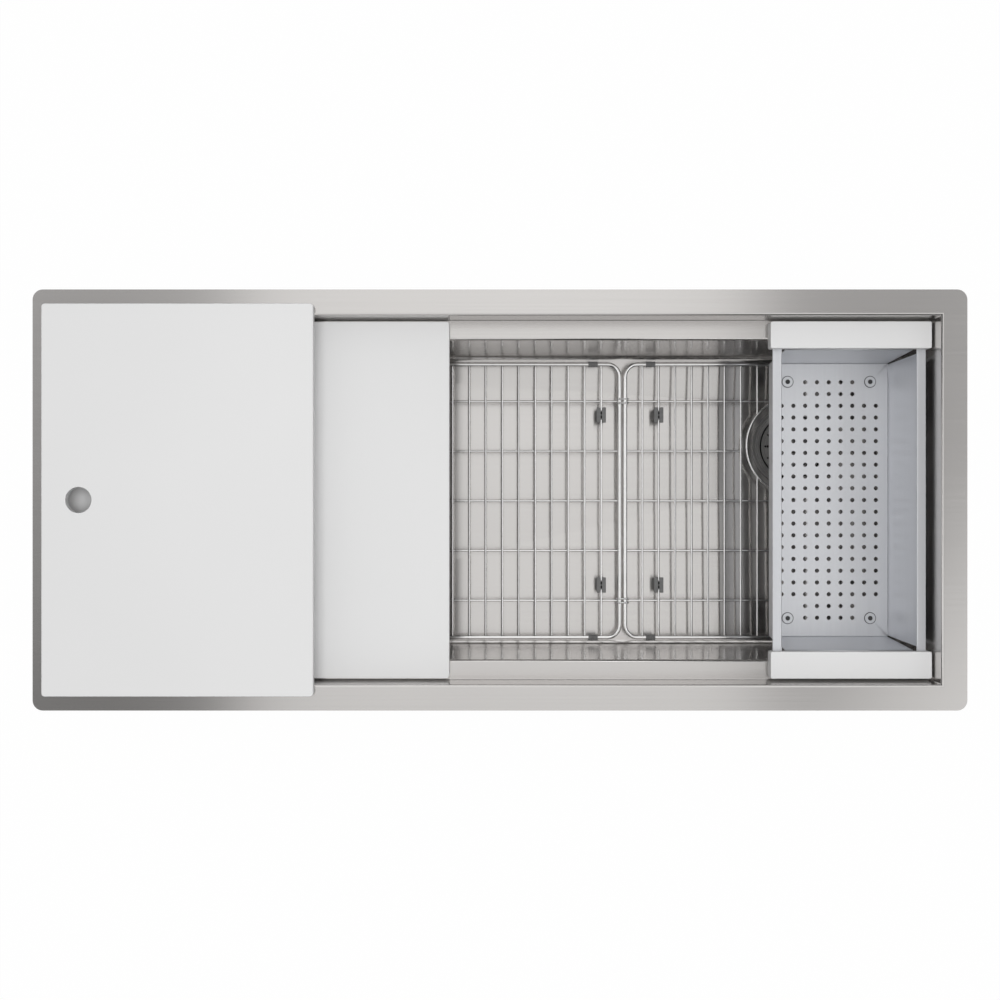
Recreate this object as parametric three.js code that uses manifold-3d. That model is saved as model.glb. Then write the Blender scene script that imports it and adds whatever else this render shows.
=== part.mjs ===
// Workstation kitchen sink: a stepped stainless bowl with a rear drain, an upper and a
// lower cutting board, a hanging colander, and a bottom grid in two linked halves.
// Millimetres, +Z up, +X along the long side, +Y towards the wall behind the sink.
// The origin is the middle of the opening, in the plane of the rim's top face.

import * as THREE from 'three';
import { mergeVertices } from 'three/addons/utils/BufferGeometryUtils.js';
import Module from 'manifold-3d';

const wasm = await Module();
wasm.setup();

// ---------------------------------------------------------------- driving sizes

// Bowl, pressed and welded from one gauge of sheet.
const openingLength = 1092.2;
const openingWidth = 457.2;
const rimWidth = 31.75;
const rimCorner = 12.7;
const sheet = 1.6;
const ledgeDepth = 50.8;
const ledgeWidth = 25.4;
const bowlDepth = 252;
const floorFall = 6;
const bendRadius = 1.5;
const bendBulge = 0.3;
const wallCorner = 1.6;
const footFillet = 3;
const dishCorner = 4;

// Clearance that every resting or threaded piece keeps to the piece that carries it.
const seat = 0.3;

// Flat sides on every round piece round the drain's axis, alike so that they nest.
const turnSides = 24;

// Sound-deadening pads on the outside of the bowl.
const padThickness = 3;
const padMargin = 60;
const padBelowLedge = 30;
const padSplit = 6;
const padReach = 20;

// Drain, set in a round recess of the floor.
const drainFromRightWall = 131;
const drainFromRearWall = 127;
const recessDepth = 3;
const recessClearance = 1.5;
const flangeRadius = 57.15;
const flangeThickness = 1.6;
const flangeBevel = 1.6;
const throatFlare = 3.2;
const threadRadius = 45.8;
const throatRadius = 44.6;
const strainerDepth = 51;
const coneDepth = 11;
const coneInset = 6.6;
const outletRadius = 20.5;
const outletBore = 17.5;
const outletLength = 22;
const spiderBelowCone = 4;
const spiderHeight = 4;
const spiderArm = 2.8;
const spiderHubWall = 3;
const topGasket = 1.2;
const underGasket = 3;
const frictionRing = 1.2;
const locknutHeight = 10;
const locknutRadius = 53;
const locknutLug = 4.5;
const locknutLugWidth = 7;
const locknutLugs = 8;
const washerThickness = 2;
const tailpieceRadius = 19.05;
const tailpieceWall = 1.2;
const tailpieceLength = 101.6;
const tailpieceLip = 1.6;
const tailpieceNutRadius = 27;
const tailpieceNutGrip = 15;
const tailpieceNutShoulder = 4;

// Strainer basket, which lifts out of the drain.
const basketGap = 0.8;
const basketWall = 0.8;
const basketDepth = 42;
const basketBottomRadius = 28;
const basketShoulder = 5;
const basketLip = 1.5;
const basketFoot = 3.6;
const basketWallSlots = 8;
const wallSlotWidth = 4;
const wallSlotHeight = 21;
const basketSlots = 14;
const slotLength = 7;
const slotWidth = 2.6;
const slotCircle = 36.5;
const capRadius = 31;
const capThickness = 1.2;
const knobRadius = 10;
const knobNeck = 6;
const knobHead = 5;
const knobHeight = 12;
const postRadius = 2.3;
const postBelowCone = 9;

// Upper board, lying across the rim.
const boardThickness = 12.7;
const boardCorner = 4;
const boardEdge = 1.5;
const upperBoardLength = 333.5;
const upperBoardWidth = 482.6;
const upperBoardFromRimEnd = 14.85;
const fingerHoleRadius = 15.9;
const fingerHoleInset = 45.4;

// Lower board, lying on the two ledges.
const lowerBoardLength = 479;
const lowerBoardEndGap = 3.1;
const ledgeRunningGap = 3.2;

// Colander: a folded, perforated tray hung from two bar handles.
const colanderFromRightWall = 103.6;
const handleLength = 203.2;
const handleWidth = 34;
const handleThickness = 19.05;
const handleEdge = 1.5;
const handleCorner = 3;
const handleEndCheek = 4;
const handleWallGap = 3.5;
const handleRebate = 7.5;
const traySheet = 1.2;
const trayDepth = 109.4;
const trayEndGap = 0.7;
const traySideGap = 13.2;
const trayDraftX = 5.9;
const trayDraftY = 6.4;
const trayFlange = 11.5;
const trayFoldRadius = 1;
const cornerSlit = 3;
const holePitch = 15.85;
const holeRadius = 2.9;
const holeEndMargin = 24.5;
const holeSideMargin = 15.5;
const narrowColumns = 5;
const narrowRows = 2;
const trayFootInsetX = 24;
const trayFootInsetY = 24.6;
const trayFootRadius = 7.9;
const trayFootTaper = 1.4;
const trayFootHeight = 8;
const footStemRadius = 2.4;
const footHeadRadius = 3.2;
const footHeadHeight = 0.7;
const footWasherThickness = 0.8;
const screwRadius = 1.9;
const screwLength = 9;
const screwHeadRadius = 3.6;
const screwHeadHeight = 2.2;
const screwInset = 41.6;

// Bottom grid: two framed halves of welded wire, linked along the middle.
const gridHeight = 24;
const gridEndGap = 12.4;
const gridSideGap = 12.15;
const gridShift = -1.2;
const gridSplit = 171.35;
const gridSplitGap = 7.9;
const frameWire = 2.8;
const frameCorner = 17;
const longWire = 1.5;
const longWireDrop = 1;
const weldOverlap = 0.2;
const leftPitch = 23.15;
const leftMargin = 25.6;
const rightPitch = 23.04;
const rightMargin = 23.9;
const crossPitch = 69.8;
const crossWires = 5;
const drainRing = 69.4;
const drainRingWire = 1.8;
const linkWire = 1.2;
const linkOffset = 3.6;
const linkClearance = 0.4;
const gridFootLength = 21.6;
const gridFootWidth = 13;
const gridFootY = 119;
const gridFootCover = 1;
const gridFootNotch = 4.4;
const bumperRadius = 4.15;
const bumperLength = 13;

// ---------------------------------------------------------------- worked-out places

const halfLength = openingLength / 2;
const halfWidth = openingWidth / 2;
const halfBowl = halfWidth - ledgeWidth;
const drainX = halfLength - drainFromRightWall;
const drainY = halfBowl - drainFromRearWall;
const recessRadius = flangeRadius + recessClearance;
const dishHalf = recessRadius + sheet + 2;
const floorAtDrain = -(bowlDepth + floorFall);
const recessFloor = floorAtDrain - recessDepth;
const flangeUnderside = recessFloor + seat + topGasket + seat;
const flangeTop = flangeUnderside + flangeThickness;
const colanderX = halfLength - colanderFromRightWall;
const ledgeTop = -ledgeDepth + seat;
const gridZ = -(bowlDepth - gridHeight);

// ---------------------------------------------------------------- colours

function finish(hex, roughness, metalness) {
  return () => new THREE.MeshStandardMaterial({ color: hex, roughness, metalness });
}

const brushedSteel = finish(0xc4c2bf, 0.34, 1);
const traySteel = finish(0xb6b8bd, 0.42, 1);
const wireSteel = finish(0xd2d0cd, 0.2, 1);
const chrome = finish(0xbebcba, 0.15, 1);
const boardWhite = finish(0xe0e0df, 0.55, 0);
const handleWhite = finish(0xdcdcda, 0.45, 0);
const darkRubber = finish(0x4a4a49, 0.75, 0);
const padRubber = finish(0x3c3c3c, 0.9, 0);
const sealRubber = finish(0x262626, 0.8, 0);
const card = finish(0xb09a78, 0.9, 0);

// ---------------------------------------------------------------- solids

function toSolid(geometry) {
  const bare = geometry.index ? geometry.toNonIndexed() : geometry.clone();
  bare.deleteAttribute('normal');
  bare.deleteAttribute('uv');
  const merged = mergeVertices(bare, 1e-4);
  return new wasm.Manifold(new wasm.Mesh({
    numProp: 3,
    vertProperties: new Float32Array(merged.attributes.position.array),
    triVerts: new Uint32Array(merged.index.array),
  }));
}

function toMesh(name, solid, material) {
  const { vertProperties, triVerts } = solid.getMesh();
  const geometry = new THREE.BufferGeometry();
  geometry.setAttribute('position', new THREE.BufferAttribute(new Float32Array(vertProperties), 3));
  geometry.setIndex(new THREE.BufferAttribute(new Uint32Array(triVerts), 1));
  const mesh = new THREE.Mesh(geometry, material());
  mesh.name = name;
  return mesh;
}

function joinAll(solids) {
  return solids.reduce((whole, piece) => whole.add(piece));
}

function box(x0, x1, y0, y1, z0, z1) {
  const geometry = new THREE.BoxGeometry(x1 - x0, y1 - y0, z1 - z0);
  geometry.translate((x0 + x1) / 2, (y0 + y1) / 2, (z0 + z1) / 2);
  return toSolid(geometry);
}

function rod(x, y, z0, z1, radius, sides) {
  const geometry = new THREE.CylinderGeometry(radius, radius, z1 - z0, sides);
  geometry.rotateX(Math.PI / 2);
  geometry.translate(x, y, (z0 + z1) / 2);
  return toSolid(geometry);
}

// A turned piece: profile points are [radius, height], closed on itself or on the axis.
function turned(profile, sides, x, y) {
  const points = profile.map(([radius, z]) => new THREE.Vector2(radius, z));
  if (profile[0][0] > 0) points.push(points[0].clone());
  const geometry = new THREE.LatheGeometry(points, sides);
  geometry.rotateX(Math.PI / 2);
  geometry.translate(x, y, 0);
  const solid = toSolid(geometry);
  return solid.volume() > 0 ? solid : toSolid(flipped(geometry));
}

function flipped(geometry) {
  const index = geometry.index.array;
  for (let i = 0; i < index.length; i += 3) {
    [index[i], index[i + 1]] = [index[i + 1], index[i]];
  }
  return geometry;
}

// A ring of points round a rounded rectangle, counterclockwise, at one height.
function rectangleRing(x, y, halfX, halfY, radius, z, steps) {
  const ring = [];
  for (let corner = 0; corner < 4; corner += 1) {
    const cx = x + (halfX - radius) * (corner === 0 || corner === 3 ? 1 : -1);
    const cy = y + (halfY - radius) * (corner < 2 ? 1 : -1);
    for (let step = 0; step <= steps; step += 1) {
      const angle = (corner + step / steps) * Math.PI / 2;
      ring.push(new THREE.Vector3(cx + radius * Math.cos(angle), cy + radius * Math.sin(angle), z));
    }
  }
  return ring;
}

// A skin over rings of equal count: capped at both ends, or closed into a loop.
function loft(rings, isLoop) {
  const count = rings[0].length;
  const corners = rings.flat().flatMap((point) => [point.x, point.y, point.z]);
  const faces = [];
  const spans = isLoop ? rings.length : rings.length - 1;
  for (let i = 0; i < spans; i += 1) {
    const near = i * count;
    const far = ((i + 1) % rings.length) * count;
    for (let j = 0; j < count; j += 1) {
      const next = (j + 1) % count;
      faces.push(near + j, near + next, far + next, near + j, far + next, far + j);
    }
  }
  if (!isLoop) {
    const flat = rings[0].map((point) => new THREE.Vector2(point.x, point.y));
    const last = (rings.length - 1) * count;
    for (const [a, b, c] of THREE.ShapeUtils.triangulateShape(flat, [])) {
      faces.push(a, c, b, last + a, last + b, last + c);
    }
  }
  const geometry = new THREE.BufferGeometry();
  geometry.setAttribute('position', new THREE.Float32BufferAttribute(corners, 3));
  geometry.setIndex(faces);
  const solid = toSolid(geometry);
  return solid.volume() > 0 ? solid : toSolid(flipped(geometry));
}

// A flat slab with rounded corners and eased top and bottom edges, and a round hole if given.
function slab(x0, x1, y0, y1, z0, z1, corner, edge, hole) {
  const shape = new THREE.Shape();
  shape.moveTo(x0 + corner, y0);
  shape.lineTo(x1 - corner, y0);
  shape.absarc(x1 - corner, y0 + corner, corner, -Math.PI / 2, 0);
  shape.absarc(x1 - corner, y1 - corner, corner, 0, Math.PI / 2);
  shape.absarc(x0 + corner, y1 - corner, corner, Math.PI / 2, Math.PI);
  shape.absarc(x0 + corner, y0 + corner, corner, Math.PI, Math.PI * 1.5);
  if (hole) {
    const path = new THREE.Path();
    path.absarc(hole.x, hole.y, hole.radius, 0, Math.PI * 2, true);
    shape.holes.push(path);
  }
  const geometry = new THREE.ExtrudeGeometry(shape, {
    depth: z1 - z0 - 2 * edge,
    bevelThickness: edge,
    bevelSize: edge,
    bevelOffset: -edge,
    bevelSegments: 1,
    curveSegments: hole ? 6 : 3,
  });
  geometry.translate(0, 0, z0 + edge);
  return toSolid(geometry);
}

// A straight round wire between two points, drawn with six sides and an edge upwards.
function wire(from, to, radius) {
  const along = new THREE.Vector3().subVectors(to, from);
  const geometry = new THREE.CylinderGeometry(radius, radius, along.length(), 6);
  const turn = new THREE.Quaternion();
  turn.setFromUnitVectors(new THREE.Vector3(0, 1, 0), along.clone().normalize());
  if (Math.abs(along.x) > Math.abs(along.y)) geometry.rotateY(Math.PI / 2);
  geometry.applyQuaternion(turn);
  const middle = new THREE.Vector3().addVectors(from, to).multiplyScalar(0.5);
  geometry.translate(middle.x, middle.y, middle.z);
  return toSolid(geometry);
}

// A round wire bent along a closed, flat loop of points.
function bentWire(loop, upward, radius, sides) {
  const rings = loop.map((point, i) => {
    const before = loop[(i + loop.length - 1) % loop.length];
    const after = loop[(i + 1) % loop.length];
    const into = new THREE.Vector3().subVectors(point, before).normalize();
    const out = new THREE.Vector3().subVectors(after, point).normalize();
    const along = new THREE.Vector3().addVectors(into, out).normalize();
    const sideways = new THREE.Vector3().crossVectors(along, upward);
    const stretch = radius / Math.max(0.5, along.dot(out));
    const ring = [];
    for (let k = 0; k < sides; k += 1) {
      const angle = ((k + 0.5) / sides) * Math.PI * 2;
      ring.push(point.clone()
        .addScaledVector(sideways, stretch * Math.cos(angle))
        .addScaledVector(upward, radius * Math.sin(angle)));
    }
    return ring;
  });
  return loft(rings, true);
}

// ---------------------------------------------------------------- bowl

// The shape under the ledges, grown outwards by a wall: upright walls, a rounded foot and
// a floor of four slopes that fall to a level square round the drain.
function lowerBowl(grow, topFlare) {
  const halfX = halfLength + grow;
  const halfY = halfBowl + grow;
  const foot = footFillet + grow;
  const corner = wallCorner + grow;
  const steps = 2;
  const rings = [];
  if (topFlare) {
    rings.push(rectangleRing(0, 0, halfX, halfY + topFlare, corner, -ledgeDepth + 3 * topFlare, steps));
    rings.push(rectangleRing(0, 0, halfX, halfY + topFlare, corner, -ledgeDepth, steps));
    const bend = bendBulge * topFlare;
    rings.push(rectangleRing(0, 0, halfX, halfY + bend, corner, -ledgeDepth - bend, steps));
    rings.push(rectangleRing(0, 0, halfX, halfY, corner, -ledgeDepth - topFlare, steps));
  } else {
    rings.push(rectangleRing(0, 0, halfX, halfY, corner, -ledgeDepth, steps));
  }
  for (const share of [0, 0.5, 1]) {
    const angle = share * Math.PI / 2;
    const inset = foot * (1 - Math.cos(angle));
    const z = -bowlDepth - grow + foot * (1 - Math.sin(angle));
    rings.push(rectangleRing(0, 0, halfX - inset, halfY - inset, Math.max(0.5, corner - inset / 2), z, steps));
  }
  rings.push(rectangleRing(drainX, drainY, dishHalf, dishHalf, dishCorner, floorAtDrain - grow, steps));
  return loft(rings, false);
}

// The stepped opening above the ledges, with a bend where it meets the rim.
function upperWell(grow, topFlare) {
  const corner = wallCorner + grow;
  const steps = 2;
  const rings = [];
  if (topFlare) {
    const flare = (share) => [halfLength + share * topFlare, halfWidth + share * topFlare];
    rings.push(rectangleRing(0, 0, ...flare(1), corner + topFlare, sheet, steps));
    rings.push(rectangleRing(0, 0, ...flare(1), corner + topFlare, 0, steps));
    const bend = bendBulge * topFlare;
    rings.push(rectangleRing(0, 0, ...flare(bendBulge), corner + bend, -bend, steps));
    rings.push(rectangleRing(0, 0, ...flare(0), corner, -topFlare, steps));
  } else {
    rings.push(rectangleRing(0, 0, halfLength + grow, halfWidth + grow, corner, -sheet / 2, steps));
  }
  rings.push(rectangleRing(0, 0, halfLength + grow, halfWidth + grow, corner, -ledgeDepth - grow, steps));
  return loft(rings, false);
}

function makeBowl() {
  const rimX = halfLength + rimWidth;
  const rimY = halfWidth + rimWidth;
  const rim = loft([
    rectangleRing(0, 0, rimX, rimY, rimCorner, -sheet, 4),
    rectangleRing(0, 0, rimX, rimY, rimCorner, 0, 4),
  ], false);
  const cup = rod(drainX, drainY, recessFloor - sheet, floorAtDrain, recessRadius + sheet, turnSides);
  const outside = joinAll([rim, upperWell(sheet, 0), lowerBowl(sheet, 0), cup]);
  const recess = rod(drainX, drainY, recessFloor, floorAtDrain + 1, recessRadius, turnSides);
  const bore = rod(drainX, drainY, recessFloor - 2 * sheet, recessFloor + 1, threadRadius + 2 * seat, turnSides);
  const solid = outside
    .subtract(upperWell(0, bendRadius))
    .subtract(lowerBowl(0, bendRadius))
    .subtract(recess)
    .subtract(bore);
  return toMesh('sink_bowl', solid, brushedSteel);
}

function makeSoundPads() {
  const inner = sheet + seat;
  const skin = lowerBowl(inner + padThickness, 0).subtract(lowerBowl(inner, 0));
  const farX = halfLength - padMargin;
  const farY = halfBowl - padMargin;
  const top = -ledgeDepth - padBelowLedge;
  const bottom = -bowlDepth + padBelowLedge;
  const floorLow = floorAtDrain - padReach;
  const floorHigh = -bowlDepth;
  const drainEdge = drainX - flangeRadius - padMargin / 2;
  const middle = (drainEdge - farX) / 2;
  const cuts = {
    sound_pad_front: [-farX, farX, -halfBowl - padReach, -halfBowl, bottom, top],
    sound_pad_rear: [-farX, farX, halfBowl, halfBowl + padReach, bottom, top],
    sound_pad_left: [-halfLength - padReach, -halfLength, -farY, farY, bottom, top],
    sound_pad_right: [halfLength, halfLength + padReach, -farY, farY, bottom, top],
    sound_pad_floor_left: [-farX, middle - padSplit / 2, -farY, farY, floorLow, floorHigh],
    sound_pad_floor_right: [middle + padSplit / 2, drainEdge, -farY, farY, floorLow, floorHigh],
  };
  return Object.entries(cuts).map(([name, sides]) => (
    toMesh(name, skin.intersect(box(...sides)), padRubber)
  ));
}

// ---------------------------------------------------------------- drain

const coneTop = flangeTop - strainerDepth;
const coneFoot = coneTop - coneDepth;
const outletEnd = coneFoot - outletLength;
const coneWallRadius = throatRadius - coneInset;
const coneWallDrop = 0.7 * coneDepth;

// Height of the strainer's funnel floor at a radius between the outlet and the wall.
function funnelHeight(radius) {
  const share = (coneWallRadius - radius) / (coneWallRadius - outletRadius);
  return coneTop - coneWallDrop - share * (coneDepth - coneWallDrop);
}

function makeDrainBody() {
  const wall = threadRadius - throatRadius;
  const shell = turned([
    [flangeRadius, flangeUnderside],
    [flangeRadius, flangeUnderside + 0.6 * flangeThickness],
    [flangeRadius - flangeBevel, flangeTop],
    [throatRadius + throatFlare, flangeTop],
    [throatRadius + 0.25 * throatFlare, flangeTop - 0.5 * throatFlare],
    [throatRadius, flangeTop - 1.5 * throatFlare],
    [throatRadius, coneTop],
    [coneWallRadius, coneTop - coneWallDrop],
    [outletRadius, coneFoot],
    [outletBore, coneFoot - 1.5],
    [outletBore, outletEnd],
    [outletRadius, outletEnd],
    [outletRadius, coneFoot - 3],
    [coneWallRadius + wall, coneTop - coneWallDrop - 2],
    [threadRadius, coneTop - 1],
    [threadRadius, flangeUnderside],
  ], turnSides, drainX, drainY);
  const spiderTop = coneFoot - spiderBelowCone;
  const spiderLow = spiderTop - spiderHeight;
  const reach = (outletBore + outletRadius) / 2;
  const arm = spiderArm / 2;
  const hub = rod(drainX, drainY, spiderLow, spiderTop + 2, postRadius + spiderHubWall, 12);
  const armX = box(drainX - reach, drainX + reach, drainY - arm, drainY + arm, spiderLow, spiderTop);
  const armY = box(drainX - arm, drainX + arm, drainY - reach, drainY + reach, spiderLow, spiderTop);
  const socket = rod(drainX, drainY, spiderLow - 1, spiderTop + 3, postRadius + seat, 12);
  return toMesh('drain_body', joinAll([shell, hub, armX, armY]).subtract(socket), chrome);
}

function ringSolid(outer, inner, top, thickness) {
  return turned([
    [inner, top - thickness],
    [outer, top - thickness],
    [outer, top],
    [inner, top],
  ], turnSides, drainX, drainY);
}

function makeDrainStack() {
  const boreRadius = threadRadius + seat;
  const underSheet = recessFloor - sheet - seat;
  const frictionTop = underSheet - underGasket - seat;
  const locknutTop = frictionTop - frictionRing - seat;
  const lugs = [];
  const lugRoot = locknutRadius - locknutLug;
  for (let i = 0; i < locknutLugs; i += 1) {
    const lug = new THREE.BoxGeometry(2 * locknutLug, locknutLugWidth, locknutHeight);
    lug.translate(lugRoot + locknutLug, 0, locknutTop - locknutHeight / 2);
    lug.rotateZ(((i + 0.5) / locknutLugs) * Math.PI * 2);
    lug.translate(drainX, drainY, 0);
    lugs.push(toSolid(lug));
  }
  const nutRing = ringSolid(locknutRadius, boreRadius, locknutTop, locknutHeight);
  const topRing = ringSolid(flangeRadius - 1, boreRadius, flangeUnderside - seat, topGasket);
  const underRing = ringSolid(flangeRadius, boreRadius, underSheet, underGasket);
  const slipRing = ringSolid(flangeRadius - 1, boreRadius, frictionTop, frictionRing);
  return [
    toMesh('drain_top_gasket', topRing, sealRubber),
    toMesh('drain_under_gasket', underRing, sealRubber),
    toMesh('drain_friction_ring', slipRing, card),
    toMesh('drain_locknut', joinAll([nutRing, ...lugs]), chrome),
  ];
}

function makeTailpiece() {
  const washerTop = outletEnd - seat;
  const lipTop = washerTop - washerThickness - seat;
  const bore = tailpieceRadius - tailpieceWall;
  const pipeEnd = lipTop - tailpieceLength;
  const pipe = turned([
    [bore, pipeEnd],
    [tailpieceRadius, pipeEnd],
    [tailpieceRadius, lipTop - tailpieceLip],
    [outletRadius, lipTop - tailpieceLip],
    [outletRadius, lipTop],
    [bore, lipTop],
  ], turnSides, drainX, drainY);
  const shoulderTop = lipTop - tailpieceLip - seat;
  const nutTop = outletEnd + tailpieceNutGrip;
  const nutLow = shoulderTop - tailpieceNutShoulder;
  const threadBore = rod(drainX, drainY, shoulderTop, nutTop + 1, outletRadius + seat, turnSides);
  const pipeBore = rod(drainX, drainY, nutLow - 1, shoulderTop + 1, tailpieceRadius + seat, turnSides);
  const nut = rod(drainX, drainY, nutLow, nutTop, tailpieceNutRadius, 8)
    .subtract(threadBore)
    .subtract(pipeBore);
  return [
    toMesh('tailpiece_washer', ringSolid(outletRadius - seat, bore, washerTop, washerThickness), sealRubber),
    toMesh('tailpiece', pipe, chrome),
    toMesh('tailpiece_nut', nut, chrome),
  ];
}

// ---------------------------------------------------------------- strainer basket

const basketRim = throatRadius - basketGap;
const basketTop = flangeTop - 1;
const basketBottom = basketTop - basketDepth;
const shoulderRadius = capRadius + 1;
const postHole = postRadius + seat;

function makeBasketCup() {
  const bottomTop = basketBottom + basketWall;
  const shell = turned([
    [basketRim, basketTop - basketWall],
    [basketRim, basketTop],
    [basketRim - basketLip, basketTop],
    [shoulderRadius, basketTop - basketShoulder],
    [basketBottomRadius + 1, bottomTop + basketFoot],
    [basketBottomRadius + 1 - basketFoot, bottomTop],
    [postHole, bottomTop],
    [postHole, basketBottom],
    [basketBottomRadius + 1.4 - basketFoot, basketBottom],
    [basketBottomRadius + 2, bottomTop + basketFoot],
    [shoulderRadius + 1, basketTop - basketShoulder - basketWall],
    [basketRim - basketLip, basketTop - basketWall],
  ], turnSides, drainX, drainY);
  let solid = shell;
  for (let i = 0; i < basketSlots; i += 1) {
    const slot = new THREE.BoxGeometry(slotLength, slotWidth, 3 * basketShoulder);
    slot.translate(slotCircle, 0, basketTop - basketShoulder / 2);
    slot.rotateZ((i / basketSlots) * Math.PI * 2);
    slot.translate(drainX, drainY, 0);
    solid = solid.subtract(toSolid(slot));
  }
  for (let i = 0; i < basketWallSlots; i += 1) {
    const hole = new THREE.BoxGeometry(0.4 * shoulderRadius, wallSlotWidth, wallSlotHeight);
    hole.translate(shoulderRadius, 0, (basketTop - basketShoulder + basketBottom) / 2);
    hole.rotateZ(((i + 0.5) / basketWallSlots) * Math.PI * 2);
    hole.translate(drainX, drainY, 0);
    solid = solid.subtract(toSolid(hole));
  }
  return toMesh('basket_cup', solid, chrome);
}

function makeBasketFittings() {
  const capUnderside = basketTop - 0.4 * basketShoulder;
  const capTop = capUnderside + capThickness;
  const knobTop = capTop + knobHeight;
  const cap = turned([
    [0, capUnderside],
    [capRadius - 1, capUnderside],
    [capRadius, capUnderside + 0.4 * capThickness],
    [capRadius - 1, capTop],
    [knobNeck + 1, capTop + 0.8],
    [knobNeck, capTop + 3],
    [knobNeck + 1, knobTop - knobHead],
    [knobRadius, knobTop - 0.6 * knobHead],
    [knobRadius - 1.5, knobTop],
    [0, knobTop + 0.4],
  ], turnSides, drainX, drainY);
  const post = rod(drainX, drainY, coneFoot - postBelowCone, capUnderside - seat, postRadius, 12);
  const sealTop = basketBottom - seat;
  const rimLow = funnelHeight(basketBottomRadius) + seat;
  const middleLow = funnelHeight(outletRadius) + seat;
  const seal = turned([
    [postHole, sealTop],
    [basketBottomRadius, sealTop],
    [basketBottomRadius, rimLow],
    [outletRadius, middleLow],
    [postHole, middleLow],
  ], turnSides, drainX, drainY);
  return [
    toMesh('basket_cap', cap, chrome),
    toMesh('basket_post', post, chrome),
    toMesh('basket_seal', seal, sealRubber),
  ];
}

// ---------------------------------------------------------------- boards

function makeUpperBoard() {
  const x0 = -halfLength - rimWidth + upperBoardFromRimEnd;
  const half = upperBoardWidth / 2;
  const hole = { x: x0 + fingerHoleInset, y: 0, radius: fingerHoleRadius };
  const x1 = x0 + upperBoardLength;
  const solid = slab(x0, x1, -half, half, seat, seat + boardThickness, boardCorner, boardEdge, hole);
  return toMesh('upper_board', solid, boardWhite);
}

function makeLowerBoard() {
  const x0 = -halfLength + lowerBoardEndGap;
  const half = halfWidth - ledgeRunningGap;
  const x1 = x0 + lowerBoardLength;
  const z1 = ledgeTop + boardThickness;
  const solid = slab(x0, x1, -half, half, ledgeTop, z1, boardCorner, boardEdge, null);
  return toMesh('lower_board', solid, boardWhite);
}

// ---------------------------------------------------------------- colander

const trayFlangeTop = ledgeTop + handleRebate;
const trayFloor = trayFlangeTop - trayDepth;
const trayHalfX = handleLength / 2 - handleEndCheek - trayEndGap - trayFlange;
const trayHalfY = halfBowl - traySideGap;
const floorHalfX = trayHalfX - trayDraftX;
const floorHalfY = trayHalfY - trayDraftY;
const handleInner = halfWidth - handleWallGap - handleWidth;
const flangeReachY = halfBowl - seat;
const screwX = handleLength / 2 - screwInset;
const screwY = (trayHalfY + traySheet + flangeReachY) / 2;
const trayFootX = floorHalfX - trayFootInsetX;
const trayFootY = floorHalfY - trayFootInsetY;

function trayShape(grow, top, bottom) {
  const slopeX = trayDraftX / trayDepth;
  const slopeY = trayDraftY / trayDepth;
  const ring = (z) => {
    const halfX = trayHalfX + grow + (z - trayFlangeTop) * slopeX;
    const halfY = trayHalfY + grow + (z - trayFlangeTop) * slopeY;
    return rectangleRing(colanderX, 0, halfX, halfY, trayFoldRadius + grow, z, 1);
  };
  return loft([ring(bottom), ring(top)], false);
}

function trayHoles() {
  const holes = [];
  const lastRow = Math.floor(2 * (floorHalfY - holeEndMargin) / holePitch) / 2;
  const lastColumn = Math.floor(2 * (floorHalfX - holeSideMargin) / holePitch) / 2;
  for (let row = -lastRow; row <= lastRow; row += 1) {
    const isNarrow = Math.abs(row) > lastRow - narrowRows;
    const reach = isNarrow ? (narrowColumns - 1) / 2 : lastColumn;
    for (let column = -reach; column <= reach; column += 1) {
      const x = colanderX + column * holePitch;
      holes.push(rod(x, row * holePitch, trayFloor - 2 * traySheet, trayFloor + traySheet, holeRadius, 6));
    }
  }
  return holes;
}

function makeTray() {
  const flangeLow = trayFlangeTop - traySheet;
  const flangeX = trayHalfX + trayFlange;
  const outside = trayShape(traySheet, trayFlangeTop, trayFloor - traySheet);
  const flange = box(colanderX - flangeX, colanderX + flangeX, -flangeReachY, flangeReachY, flangeLow, trayFlangeTop);
  let solid = outside.add(flange).subtract(trayShape(0, trayFlangeTop + 1, trayFloor));
  for (const signX of [-1, 1]) {
    for (const signY of [-1, 1]) {
      const slitRing = (z) => {
        const fall = (z - trayFlangeTop) / trayDepth;
        const x = colanderX + signX * (trayHalfX + fall * trayDraftX);
        const y = signY * (trayHalfY + fall * trayDraftY);
        return rectangleRing(x, y, cornerSlit, cornerSlit, 0.5, z, 1);
      };
      solid = solid.subtract(loft([slitRing(trayFloor + 2), slitRing(trayFlangeTop + 1)], false));
      const footX = colanderX + signX * trayFootX;
      const footY = signY * trayFootY;
      const footHole = rod(footX, footY, trayFloor - 3, trayFloor + 3, footStemRadius + seat, 8);
      solid = solid.subtract(footHole);
      const holeX = colanderX + signX * screwX;
      const screwHole = rod(holeX, signY * screwY, flangeLow - 1, trayFlangeTop + 1, screwRadius + seat, 8);
      solid = solid.subtract(screwHole);
    }
  }
  for (const hole of trayHoles()) {
    solid = solid.subtract(hole);
  }
  return toMesh('colander_tray', solid, traySteel);
}

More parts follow.
